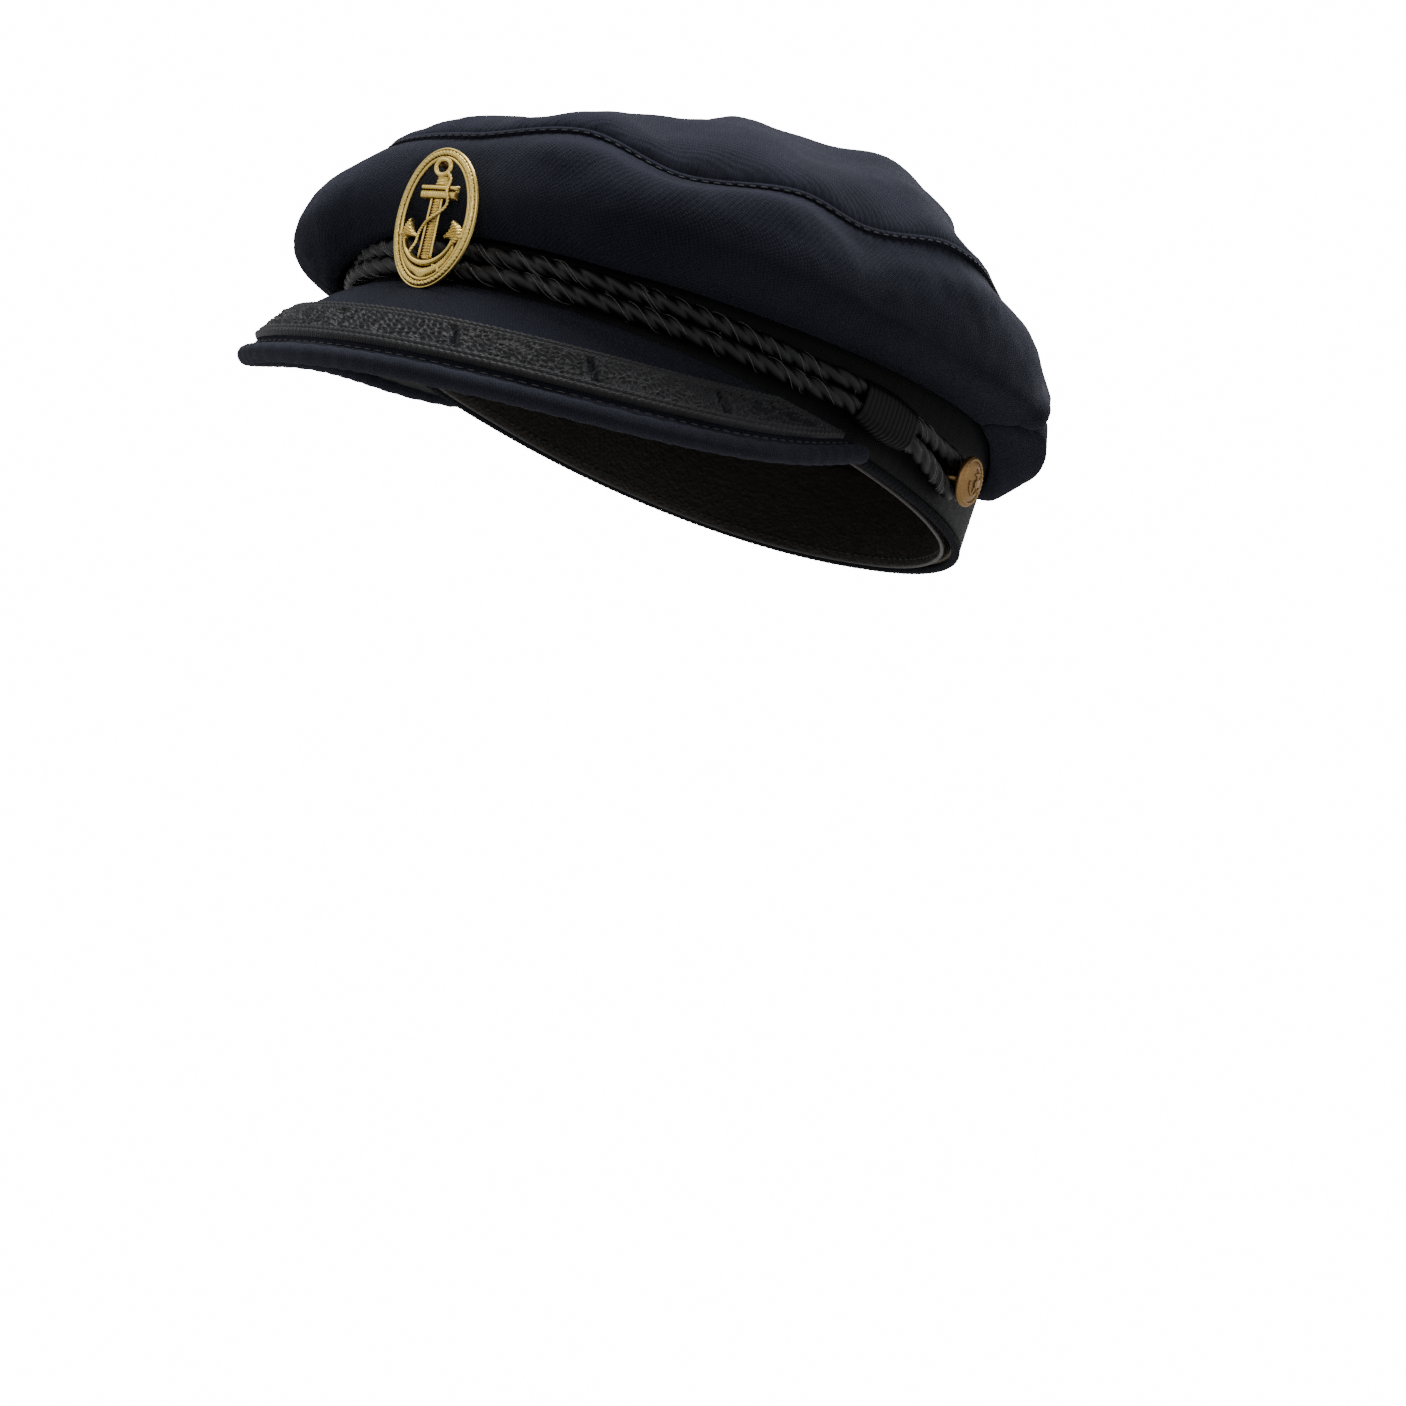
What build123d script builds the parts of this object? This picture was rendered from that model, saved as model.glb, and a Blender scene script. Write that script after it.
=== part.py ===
"""Mariner's peaked cap: soft cloth crown, dark band, braided visor, doubled chin cord and anchor badge.

Millimetres. The origin is the centre of the head opening at the band's lower edge. +Z is up through the
crown, the visor points to -Y and the wearer's left is +X. Angles run round the cap from the front (0) past
the wearer's left ear (90) to the back (180). Most pieces are cut from a section in the half plane at such an
angle, given as (radius, height) points, and lofted round the cap.
"""
import math
import os

from build123d import *

# Head opening and band
BAND_SIDE = 80.2  # half width over the band
BAND_FRONT = 107.5  # half length over the band
BAND_POWER = 2.2  # superellipse exponent: 2 would be an ellipse
BAND_BOTTOM = 2.7
BAND_TOP = 36.0
COVER_THICK = 1.6
STIFFENER_DEPTH = 1.7  # how far inside the band's outer face each inner layer starts
STIFFENER_THICK = 1.2
SWEATBAND_DEPTH = 4.9
SWEATBAND_THICK = 1.2
SWEATBAND_TOP = 32.0
WELT_RADIUS = 1.3  # corded welt under the band

# Crown
CLOTH = 1.8
FOLD_GAP = 0.6  # from the band to the cloth that hangs beside it
FOLD_RADIUS = 3.6
BULGE_SIDE = 100.0
BULGE_FRONT = 118.0
BULGE_BACK = 113.0
SEAM_SIDE = 95.0
SEAM_LENGTH = 105.5  # half length of the top seam's oval
SEAM_FORWARD = 7.5  # how far in front of the head opening's centre that oval lies
SEAM_HEIGHT = 62.0
SEAM_TILT = 8.6  # degrees that the top seam's plane leans, back up
DOME_HEIGHT = 31.0
PANEL_SEAM = 118.0  # angle of the two side seams
SEAM_GAP = 0.3
LINING = 0.8
CROWN_POINTS = 36  # points along the side panels' section

# Visor
VISOR_END = 82.6  # angle at which the visor runs out, each side
VISOR_REACH = 27.2
VISOR_DROP = 33.0
VISOR_ROOT = 3.4  # height of the board's upper face where it meets the band
VISOR_CAMBER = 3.0
BOARD = 2.0
VISOR_CLOTH = 1.0
LAYER_GAP = 0.12
ROLL_RADIUS = 2.6  # rolled edge of the visor
BRAID_THICK = 0.9
BRAID_MARGIN = 5.4  # from the visor's edge to the braid
BRAID_WIDTH = 15.6

# Chin cord, slides and side buttons
CORD_RADIUS = 2.5
CORD_SPACING = 5.4
CORD_OFFSET = 3.4
CORD_FRONT_Z = 9.6
CORD_SIDE_Z = 14.0
SLIDE_ANGLE = 82.5
SLIDE_LENGTH = 24.0
SLIDE_WALL = 1.3
SLIDE_CLEARANCE = 0.35
SLIDE_OFFSET = 4.7
STRAIGHT_HALF = 20.0  # half length of the cord's straight stretch under each slide
BUTTON_ANGLE = 115.0
BUTTON_Z = 13.0
BUTTON_RADIUS = 7.5
LOOP_RADIUS = 4.15
SHANK_RADIUS = 1.3
EYELET_BORE = 1.38

# Badge
BADGE_CENTRE = (2.5, -118.5, 19.5)
BADGE_LEAN = 11.8
BADGE_HALF_HEIGHT = 19.2
BADGE_HALF_WIDTH = 15.2
BADGE_RIM = 2.4
BADGE_THICK = 1.4
POST_RADIUS = 0.8
POST_HEIGHTS = (24.0, 33.0)
POST_LENGTH = 9.0

OUT = "parts"


def oval_radius(angle, side, front, power=BAND_POWER):
    """Radius of a superellipse at an angle from the front."""
    a = math.radians(angle)
    return (abs(math.cos(a) / front) ** power + abs(math.sin(a) / side) ** power) ** (-1 / power)


def band(angle):
    return oval_radius(angle, BAND_SIDE, BAND_FRONT)


def at(angle, radius, height):
    a = math.radians(angle)
    return Vector(radius * math.sin(a), -radius * math.cos(a), height)


def frontness(angle):
    """1 at the front of the cap and 0 at the back."""
    return (1 + math.cos(math.radians(angle))) / 2


def offset_points(points, distance):
    """Points moved sideways by a distance, to the left of the way they run."""
    moved = []
    for i, (r, z) in enumerate(points):
        before = points[max(i - 1, 0)]
        after = points[min(i + 1, len(points) - 1)]
        dr, dz = after[0] - before[0], after[1] - before[1]
        size = math.hypot(dr, dz)
        moved.append((r - dz / size * distance, z + dr / size * distance))
    return moved


def even_points(points, count):
    """Points evenly spaced along a smooth curve through (radius, height) points."""
    curve = Edge.make_spline([Vector(r, 0, z) for r, z in points])
    spaced = [curve @ (i / count) for i in range(count + 1)]
    return [(p.X, p.Z) for p in spaced]


def angles(start, end, step):
    count = max(2, round((end - start) / step))
    return [start + (end - start) * i / count for i in range(count + 1)]


def wrap(start, end, step, curves, across=12):
    """Solid wrapped round the cap, where curves(angle) gives the outer and inner curve of its section."""
    even = [i / across for i in range(across + 1)]
    sections = []
    for angle in angles(start, end, step):
        outer, inner = [[at(angle, r, z) for r, z in even_points(c, across)] for c in curves(angle)]
        edges = [
            Edge.make_spline(outer, parameters=even),
            Edge.make_line(outer[-1], inner[-1]),
            Edge.make_spline(inner[::-1], parameters=even),
            Edge.make_line(inner[0], outer[0]),
        ]
        sections.append(Face(Wire(edges)))
    return loft(sections, ruled=True)


def loop(depth, height):
    """Closed outline of the band, moved inwards by a depth."""
    points = [at(a, oval_radius(a, BAND_SIDE - depth, BAND_FRONT - depth), height) for a in range(0, 360, 10)]
    return Spline(*points, periodic=True)


def hoop(depth, thick, bottom, top):
    """Upright ring of the band's outline."""
    outer = extrude(make_face(loop(depth, bottom)), amount=top - bottom, dir=(0, 0, 1))
    inner = extrude(make_face(loop(depth + thick, bottom)), amount=top - bottom, dir=(0, 0, 1))
    return outer - inner


# ---------------------------------------------------------------- crown


def fold_height(angle):
    """Lowest point of the cloth that hangs over the band."""
    return 33.0 - 17.0 * frontness(angle) ** 1.8


def bulge_radius(angle):
    """Widest radius of the crown: flatter across the front than round the back."""
    power = 2.5 + 0.3 * math.cos(math.radians(angle))
    front = BULGE_FRONT if math.cos(math.radians(angle)) > 0 else BULGE_BACK
    return oval_radius(angle, BULGE_SIDE, front, power)


def bulge_height(angle):
    return 38.0 - 6.0 * math.cos(math.radians(angle))


def seam_radius(angle):
    """Radius, from the head opening's centre, of the oval that lies further forward."""
    a = math.radians(angle)
    square = (math.sin(a) / SEAM_SIDE) ** 2 + (math.cos(a) / SEAM_LENGTH) ** 2
    half = SEAM_FORWARD * math.cos(a) / SEAM_LENGTH**2
    return (half + math.sqrt(half**2 - square * ((SEAM_FORWARD / SEAM_LENGTH) ** 2 - 1))) / square


def seam_height(angle, radius):
    """Height of the tilted plane of the top seam."""
    return SEAM_HEIGHT - math.tan(math.radians(SEAM_TILT)) * radius * math.cos(math.radians(angle))


def crown_curve(angle):
    """Outside of the side panels: down beside the band, round the fold, out to the bulge, up to the seam."""
    band_r, low = band(angle), fold_height(angle)
    bulge_r, bulge_z = bulge_radius(angle), bulge_height(angle)
    seam_r = seam_radius(angle)
    seam_z = seam_height(angle, seam_r) - SEAM_GAP
    fold_r, fold_z = band_r + FOLD_GAP + FOLD_RADIUS, low + FOLD_RADIUS
    top = BAND_TOP + 1.0
    points = [(band_r + FOLD_GAP, top + (fold_z - top) * share) for share in (0, 0.3, 0.6, 0.85)]
    for turn in (180, 225, 270, 318):
        t = math.radians(turn)
        points.append((fold_r + FOLD_RADIUS * math.cos(t), fold_z + FOLD_RADIUS * math.sin(t)))
    points.append((fold_r + 0.86 * (bulge_r - fold_r), low + 0.45 * (bulge_z - low)))
    points.append((bulge_r, bulge_z))
    points.append((seam_r + 0.72 * (bulge_r - seam_r), bulge_z + 0.55 * (seam_z - bulge_z)))
    points.append((seam_r, seam_z))
    return points


def crown_layer(angle, depth):
    """The side panels' outline moved inside the cloth by a depth, ending at the top seam."""
    points = offset_points(even_points(crown_curve(angle), CROWN_POINTS), depth)
    radius = points[-1][0]
    return points[:-1] + [(radius, seam_height(angle, radius) - SEAM_GAP)]


def side_panel(angle):
    return crown_layer(angle, 0), crown_layer(angle, CLOTH)


def lining_wall(angle):
    """Lining inside the side panels, from the sweatband's top out and up to the top seam."""
    start = band(angle) - SWEATBAND_DEPTH
    seam_r = seam_radius(angle) - CLOTH - 1.6
    seam_z = seam_height(angle, seam_r) - 1.2
    inside = bulge_radius(angle) - CLOTH - 2.6
    outer = [
        (start, SWEATBAND_TOP + 1.5),
        (start + 0.8, BAND_TOP + 3.5),
        (start + 0.62 * (inside - start), BAND_TOP + 6.5 + 0.25 * (seam_z - BAND_TOP - 6.5)),
        (min(inside, seam_r + 1.5), BAND_TOP + 6.5 + 0.62 * (seam_z - BAND_TOP - 6.5)),
        (seam_r, seam_z),
    ]
    return outer, offset_points(outer, LINING)


def dome_solid(inset):
    """Solid oval dome on the XY plane."""
    side, length = SEAM_SIDE - inset, (SEAM_LENGTH - inset) / math.cos(math.radians(SEAM_TILT))
    slices = []
    for share in (1, 0.985, 0.95, 0.88, 0.78, 0.65, 0.5, 0.32, 0.12):
        height = (DOME_HEIGHT - inset) * (1 - share**2.2) ** 0.588
        slices.append(Pos(0, 0, height) * Ellipse(side * share, length * share))
    return loft(slices)


def dome(inset, thick):
    """Dome shell standing on the tilted plane of the top seam."""
    shell = dome_solid(inset) - dome_solid(inset + thick)
    centre = SEAM_HEIGHT - math.tan(math.radians(SEAM_TILT)) * SEAM_FORWARD
    return Pos(0, -SEAM_FORWARD, centre) * Rot(SEAM_TILT, 0, 0) * shell


def front_stay(angle):
    """Stiff foam plate just behind the crown's front wall."""
    low, high = round(0.42 * CROWN_POINTS), round(0.8 * CROWN_POINTS)
    return crown_layer(angle, CLOTH + 0.4)[low:high], crown_layer(angle, CLOTH + 1.9)[low:high]


# ---------------------------------------------------------------- visor


def visor_size(angle):
    """Reach and drop of the visor at an angle."""
    share = min(abs(angle) / VISOR_END, 1)
    reach = VISOR_REACH * (1 - share**1.8) ** 1.2
    drop = VISOR_DROP * (1 - share**2.38) ** 1.2
    return reach + 2.2, drop + 1.2


def visor_curve(angle, start=0.0, end=1.0):
    """Upper face of the visor's board between two shares of its width."""
    reach, drop = visor_size(angle)
    camber = VISOR_CAMBER * reach / VISOR_REACH
    points = []
    for i in range(5):
        share = start + (end - start) * i / 4
        lift = camber * 4 * share * (1 - share)
        across = (drop, reach)
        size = math.hypot(*across)
        radius = band(angle) + 0.4 + reach * share + lift * across[0] / size
        height = VISOR_ROOT - drop * share + lift * across[1] / size
        points.append((radius, height))
    return points


def visor_layer(top, bottom):
    """Section of one layer of the visor, between two heights over the board's upper face."""

    def curves(angle):
        reach, drop = visor_size(angle)
        end = 1 - (ROLL_RADIUS + 0.5) / math.hypot(reach, drop)
        start = -bottom * drop / math.hypot(reach, drop) / reach if bottom < 0 else 0
        mid = visor_curve(angle, start, max(end, start + 0.12))
        return offset_points(mid, top), offset_points(mid, bottom)

    return curves


def visor_braid(angle):
    width = math.hypot(*visor_size(angle))
    end = 1 - BRAID_MARGIN / width
    start = max(0.03, end - BRAID_WIDTH / width)
    base = visor_curve(angle, start, max(end, start + 0.1))
    low = VISOR_CLOTH + 2 * LAYER_GAP
    return offset_points(base, low + BRAID_THICK), offset_points(base, low)


def visor_roll():
    """Rolled cloth edge along the visor's rim."""
    rim = []
    for a in angles(-VISOR_END + 0.8, VISOR_END - 0.8, 7.0):
        radius, height = visor_curve(a)[-1]
        rim.append(at(a, radius, height - BOARD / 2))
    path = Spline(*rim)
    return sweep(Plane(origin=path @ 0, z_dir=path % 0) * Circle(ROLL_RADIUS), path=path)


# ---------------------------------------------------------------- chin cord, slides and buttons


def band_normal(angle):
    """Horizontal outward direction of the band's face."""
    p = at(angle, band(angle), 0)
    nx = math.copysign(abs(p.X / BAND_SIDE) ** (BAND_POWER - 1) / BAND_SIDE, p.X)
    ny = math.copysign(abs(p.Y / BAND_FRONT) ** (BAND_POWER - 1) / BAND_FRONT, p.Y)
    return Vector(nx, ny, 0).normalized()


def outside_band(angle, offset, height):
    return at(angle, band(angle), height) + band_normal(angle) * offset


def cord_height(angle):
    """Height of the middle of the two strands between the slides."""
    return CORD_FRONT_Z + (CORD_SIDE_Z - CORD_FRONT_Z) * (min(angle, 72) / 72) ** 1.5


def slide_place():
    """Middle of the left slide and the direction of the cord through it."""
    middle = outside_band(SLIDE_ANGLE, SLIDE_OFFSET, CORD_SIDE_Z)
    along = band_normal(SLIDE_ANGLE).rotate(Axis.Z, 90)
    return middle, along


def strand(side):
    """Waypoints of one strand on the wearer's left, front to button, side +1 above and -1 below."""
    half = side * CORD_SPACING / 2
    points = [outside_band(a, CORD_OFFSET, cord_height(a) + half) for a in range(0, 65, 8)]
    middle, along = slide_place()
    points.append(middle - along * STRAIGHT_HALF + Vector(0, 0, half))
    points.append(middle + along * STRAIGHT_HALF + Vector(0, 0, half))
    points.append(outside_band(BUTTON_ANGLE - 5.0, CORD_OFFSET, BUTTON_Z + side * LOOP_RADIUS))
    button = outside_band(BUTTON_ANGLE, CORD_OFFSET - 0.2, BUTTON_Z)
    back = band_normal(BUTTON_ANGLE).rotate(Axis.Z, 90)
    points.append(button + back * LOOP_RADIUS + Vector(0, 0, side * LOOP_RADIUS))
    return points


def mirrored(points):
    return [Vector(-p.X, p.Y, p.Z) for p in points]


def rounded_route(points, largest=400.0):
    """Closed wire of straight runs with the largest bend that fits at every corner."""
    count = len(points)
    edges = []
    last = None
    for i in range(count + 1):
        corner, before, after = points[i % count], points[i % count - 1], points[(i + 1) % count]
        into, out = (corner - before).normalized(), (after - corner).normalized()
        half = max(math.radians(into.get_angle(out)) / 2, 1e-4)
        setback = 0.47 * min((corner - before).length, (after - corner).length)
        setback = min(setback, largest * math.tan(half))
        if last:
            edges.append(Edge.make_line(last, corner - into * setback))
        if i < count:
            last = corner + out * setback
            edges.append(Edge.make_tangent_arc(corner - into * setback, into, last))
    return Wire(edges)


def chin_cord():
    """One endless cord: upper strand, left loop, lower strand, right loop."""
    half = strand(1) + strand(-1)[::-1]
    path = rounded_route(half + mirrored(half[::-1])[1:-1])
    start = path @ 0
    return sweep(Plane(origin=start, z_dir=path % 0) * Circle(CORD_RADIUS), path=path)


def slide():
    """Wrapped slide on the wearer's left: a barrel of thread turns with a slot for both strands."""
    middle, along = slide_place()
    half_height = CORD_SPACING / 2 + CORD_RADIUS + SLIDE_CLEARANCE + SLIDE_WALL
    half_thick = CORD_RADIUS + SLIDE_CLEARANCE + SLIDE_WALL
    slot_radius = CORD_RADIUS + SLIDE_CLEARANCE
    plane = Plane(origin=middle, x_dir=(0, 0, 1), z_dir=along)
    ends = []
    for share in (-1, -0.55, 0, 0.55, 1):
        swell = 1 - 0.16 * share**2
        height = half_height * swell
        thick = half_thick * (1 - 0.08 * share**2)
        outline = SlotOverall(2 * height, 2 * thick)
        ends.append(plane.offset(share * SLIDE_LENGTH / 2) * outline)
    barrel = loft(ends)
    slot = SlotOverall(CORD_SPACING + 2 * slot_radius, 2 * slot_radius)
    hole = extrude(plane.offset(-SLIDE_LENGTH) * slot, amount=2 * SLIDE_LENGTH)
    return barrel - hole


def on_button(shape):
    """Moves a shape modelled round +X at the band's face onto the wearer's left button."""
    normal = band_normal(BUTTON_ANGLE)
    turn = math.degrees(math.atan2(normal.Y, normal.X))
    place = at(BUTTON_ANGLE, band(BUTTON_ANGLE), BUTTON_Z)
    return Pos(place) * Rot(0, 0, turn) * shape


def turned(points):
    """Solid turned about X from (x, radius) points."""
    return revolve(make_face(Polyline(*points, points[0])), axis=Axis.X)


def button_shell():
    """Stamped dome with a raised rope rim, rolled over the back plate."""
    r = BUTTON_RADIUS
    rim = [(6.5, r - 1.2), (6.5, r - 0.3), (7.0, r), (7.9, r), (8.4, r - 0.4), (8.4, r - 1.4)]
    top = [(8.9, r - 2.1), (9.6, 3.4), (9.9, 1.6), (9.95, 0)]
    inside = [(9.45, 0), (9.1, 3.2), (8.4, r - 2.4), (7.9, r - 1.6), (7.9, r - 0.8)]
    lip = [(7.2, r - 0.8), (7.2, r - 1.2)]
    return turned(rim + top + inside + lip)


def button_back():
    r = BUTTON_RADIUS - 1.0
    return turned([(6.1, 0), (6.1, 2.2), (6.45, 2.8), (6.45, r - 0.5), (7.15, r - 0.5), (7.15, 0)])


def button_shank():
    """Post through the eyelet, with a cross hole for the split ring."""
    post = Rot(0, 90, 0) * Cylinder(SHANK_RADIUS, 10.8, align=(Align.CENTER, Align.CENTER, Align.MIN))
    hole = Pos(RING_X, 0, 0) * Cylinder(0.65, 4)
    return Pos(-4.75, 0, 0) * post - hole


RING_X = -3.8
RING_RADIUS = 2.6
RING_WIRE = 0.32


def split_ring():
    """Wire ring through the shank that keeps the button on, flat behind the stiffener."""
    ring = Rot(0, 90, 0) * Torus(RING_RADIUS, RING_WIRE)
    return Pos(RING_X, RING_RADIUS, 0) * ring


def eyelet():
    """Brass eyelet through the band: a barrel with a flange outside."""
    outer, flange = 2.0, 3.4
    head = [(0.6, EYELET_BORE), (0.6, flange - 0.3), (0.35, flange), (0.2, flange), (0.2, outer)]
    return turned([(-3.1, EYELET_BORE), *head, (-3.1, outer)])


def button_hole():
    return Rot(0, 90, 0) * Cylinder(2.1, 8)


# ---------------------------------------------------------------- badge


def on_badge(shape):
    """Moves a shape modelled flat in XY, facing +Z, to the front of the crown."""
    return Pos(*BADGE_CENTRE) * Rot(90 + BADGE_LEAN, 0, 0) * shape


def bar(start, end, width, thick):
    """Flat bar between two points of the badge's plane."""
    (x0, y0), (x1, y1) = start, end
    length = math.hypot(x1 - x0, y1 - y0)
    turn = math.degrees(math.atan2(y1 - y0, x1 - x0))
    return Pos((x0 + x1) / 2, (y0 + y1) / 2, thick / 2) * Rot(0, 0, turn) * Box(length, width, thick)


def badge_rim():
    """Oval frame with a raised outer rope."""
    outer = Ellipse(BADGE_HALF_WIDTH, BADGE_HALF_HEIGHT)
    inner = Ellipse(BADGE_HALF_WIDTH - BADGE_RIM, BADGE_HALF_HEIGHT - BADGE_RIM)
    rope = Ellipse(BADGE_HALF_WIDTH - 1.1, BADGE_HALF_HEIGHT - 1.1)
    flat = extrude(outer - inner, amount=BADGE_THICK * 0.6)
    raised = extrude(outer - rope, amount=BADGE_THICK)
    return flat + raised


def badge_anchor():
    """Anchor with ring, stock, shank, curved arms and flukes, its tips joined to the frame."""
    thick = BADGE_THICK * 0.9
    ring = extrude(Circle(2.5) - Circle(1.3), amount=thick)
    shank = bar((0, 11.6), (0, -10.0), 2.8, thick)
    stock = bar((-6.0, 8.0), (6.0, 8.0), 3.2, thick)
    anchor = Pos(0, 13.6, 0) * ring + shank + stock
    crescent = Pos(0, 0.6, 0) * (Circle(14.2) - Pos(0, 2.6) * Circle(13.0))
    anchor += extrude(crescent & Pos(0, -14) * Rectangle(21.6, 18.0), amount=thick)
    crown = make_face(Polyline((-3.2, -12.2), (0, -16.9), (3.2, -12.2), (0, -9.6), (-3.2, -12.2)))
    anchor += extrude(crown, amount=thick)
    for side in (-1, 1):
        tip, barb = (side * 9.6, 1.2), (side * 12.6, -5.6)
        heel, inner_barb = (side * 10.0, -8.2), (side * 7.0, -5.4)
        anchor += extrude(make_face(Polyline(tip, barb, heel, inner_barb, tip)), amount=thick)
    return anchor


def badge_posts():
    """Two screw posts behind the badge, through the crown's front wall."""
    posts = []
    for height in POST_HEIGHTS:
        lean = math.tan(math.radians(BADGE_LEAN)) * (height - BADGE_CENTRE[2])
        start = Vector(BADGE_CENTRE[0], BADGE_CENTRE[1] - lean + 0.1, height)
        posts.append(Plane(origin=start, z_dir=(0, 1, 0)) * Cylinder(
            POST_RADIUS, POST_LENGTH, align=(Align.CENTER, Align.CENTER, Align.MIN)
        ))
    return posts


def badge_nuts():
    """Round clutches on the posts, behind the front stay."""
    nuts = []
    for post in badge_posts():
        end = post.bounding_box().max.Y
        centre = post.center()
        plane = Plane(origin=(centre.X, end - 1.9, centre.Z), z_dir=(0, 1, 0))
        body = Cylinder(2.6, 1.4, align=(Align.CENTER, Align.CENTER, Align.MIN))
        bore = Cylinder(POST_RADIUS, 1.4, align=(Align.CENTER, Align.CENTER, Align.MIN))
        nuts.append(plane * (body - bore))
    return nuts


# ---------------------------------------------------------------- assembly


def mirror_x(shape):
    return mirror(shape, about=Plane.YZ)


def write(name, shapes):
    shapes = shapes if isinstance(shapes, list) else [shapes]
    solids = [s for shape in shapes for s in shape.solids()]
    export_step(Compound(solids), os.path.join(OUT, name + ".step"))


def main():
    os.makedirs(OUT, exist_ok=True)
    posts = badge_posts()

    front = wrap(-PANEL_SEAM + SEAM_GAP / 2, PANEL_SEAM - SEAM_GAP / 2, 6, side_panel, CROWN_POINTS)
    stay = wrap(-32, 32, 8, front_stay)
    for post in posts:
        front -= post
        stay -= post
    write("crown_front_panel", front)
    write("front_stay", stay)
    rear = wrap(PANEL_SEAM + SEAM_GAP / 2, 180 - SEAM_GAP / 2, 6, side_panel, CROWN_POINTS)
    write("crown_rear_panel_left", rear)
    write("crown_rear_panel_right", mirror_x(rear))
    write("crown_top", dome(0, CLOTH))
    write("lining_top", dome(CLOTH + 1.6, LINING))
    write("lining_front", wrap(-PANEL_SEAM, PANEL_SEAM, 6, lining_wall))
    write("lining_rear", wrap(PANEL_SEAM + 0.4, 360 - PANEL_SEAM - 0.4, 6, lining_wall))

    cover = hoop(0, COVER_THICK, BAND_BOTTOM, BAND_TOP)
    stiffener = hoop(STIFFENER_DEPTH, STIFFENER_THICK, BAND_BOTTOM, BAND_TOP - 1)
    left_hole = on_button(button_hole())
    for hole in (left_hole, mirror_x(left_hole)):
        cover -= hole
        stiffener -= hole
    write("band_cover", cover)
    write("band_stiffener", stiffener)
    write("sweatband", hoop(SWEATBAND_DEPTH, SWEATBAND_THICK, 0.8, SWEATBAND_TOP))
    welt_path = loop(WELT_RADIUS + 0.1, WELT_RADIUS)
    welt_plane = Plane(origin=welt_path @ 0, z_dir=welt_path % 0)
    write("band_welt", sweep(welt_plane * Circle(WELT_RADIUS), path=welt_path))

    board_end = VISOR_END - 3.0
    layers = {
        "visor_cover_top": (VISOR_CLOTH + LAYER_GAP, LAYER_GAP),
        "visor_board": (0, -BOARD),
        "visor_cover_under": (-BOARD - LAYER_GAP, -BOARD - LAYER_GAP - VISOR_CLOTH),
    }
    for name, (top, bottom) in layers.items():
        write(name, wrap(-board_end, board_end, 4, visor_layer(top, bottom)))
    write("visor_braid", wrap(-board_end + 2, board_end - 2, 4, visor_braid))
    write("visor_rolled_edge", visor_roll())

    write("chin_cord", chin_cord())
    pieces = {
        "cord_slide": slide(),
        "button_shell": on_button(button_shell()),
        "button_back": on_button(button_back()),
        "button_shank": on_button(button_shank()),
        "button_split_ring": on_button(split_ring()),
        "button_eyelet": on_button(eyelet()),
    }
    for name, shape in pieces.items():
        write(name + "_left", shape)
        write(name + "_right", mirror_x(shape))

    write("badge", on_badge(badge_rim() + badge_anchor()))
    write("badge_posts", posts)
    write("badge_nuts", badge_nuts())


main()
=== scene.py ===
"""Mariner's peaked cap: cloth, braid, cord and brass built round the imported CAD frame. Lengths are in mm until
a mesh is made; angles run round the cap from the front (0) past the wearer's left (90) to the back (180)."""
import math

import bpy
import numpy as np
from mathutils import Matrix, Vector, noise


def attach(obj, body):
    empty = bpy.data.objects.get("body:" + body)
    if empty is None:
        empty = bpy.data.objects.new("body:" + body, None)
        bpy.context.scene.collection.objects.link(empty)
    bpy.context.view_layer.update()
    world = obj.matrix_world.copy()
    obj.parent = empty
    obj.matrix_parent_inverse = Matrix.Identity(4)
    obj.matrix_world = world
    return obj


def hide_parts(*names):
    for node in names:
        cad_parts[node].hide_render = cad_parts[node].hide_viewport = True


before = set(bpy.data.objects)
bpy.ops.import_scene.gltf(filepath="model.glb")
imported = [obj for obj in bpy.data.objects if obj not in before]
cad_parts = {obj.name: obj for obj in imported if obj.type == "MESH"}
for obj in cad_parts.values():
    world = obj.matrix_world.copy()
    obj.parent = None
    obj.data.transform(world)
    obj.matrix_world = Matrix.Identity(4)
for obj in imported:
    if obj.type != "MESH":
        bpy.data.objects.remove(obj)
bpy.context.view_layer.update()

PI = math.pi
BAND_SIDE, BAND_FRONT = 80.2, 107.5  # half width and half length of the band's oval
SEAM_TILT = math.radians(8.6)  # the top seam rises towards the back
SEAM_FORWARD = 7.5  # its oval lies this much further forward than the band

# ---------------------------------------------------------------- shape helpers


def oval(t, side, front, power=2.2):
    return (np.abs(np.cos(t) / front) ** power + np.abs(np.sin(t) / side) ** power) ** (-1 / power)


def band(t):
    return oval(t, BAND_SIDE, BAND_FRONT)


def at(t, r, z):
    return np.stack(np.broadcast_arrays(r * np.sin(t), -r * np.cos(t), z), -1)


def hump(x, middle, width):
    return np.exp(-(((x - middle) / width) ** 2))


def through(x, points):
    """Smooth steps through a few (x, value) points."""
    x = np.asarray(x, float)
    xs, ys = np.array(points, float).T
    i = np.clip(np.searchsorted(xs, x) - 1, 0, len(xs) - 2)
    f = np.clip((x - xs[i]) / (xs[i + 1] - xs[i]), 0, 1)
    f = f * f * (3 - 2 * f)
    return ys[i] + (ys[i + 1] - ys[i]) * f


def run(path):
    """Distance along a path to each of its points."""
    return np.r_[0, np.cumsum(np.linalg.norm(np.diff(path, axis=0), axis=1))]


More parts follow.
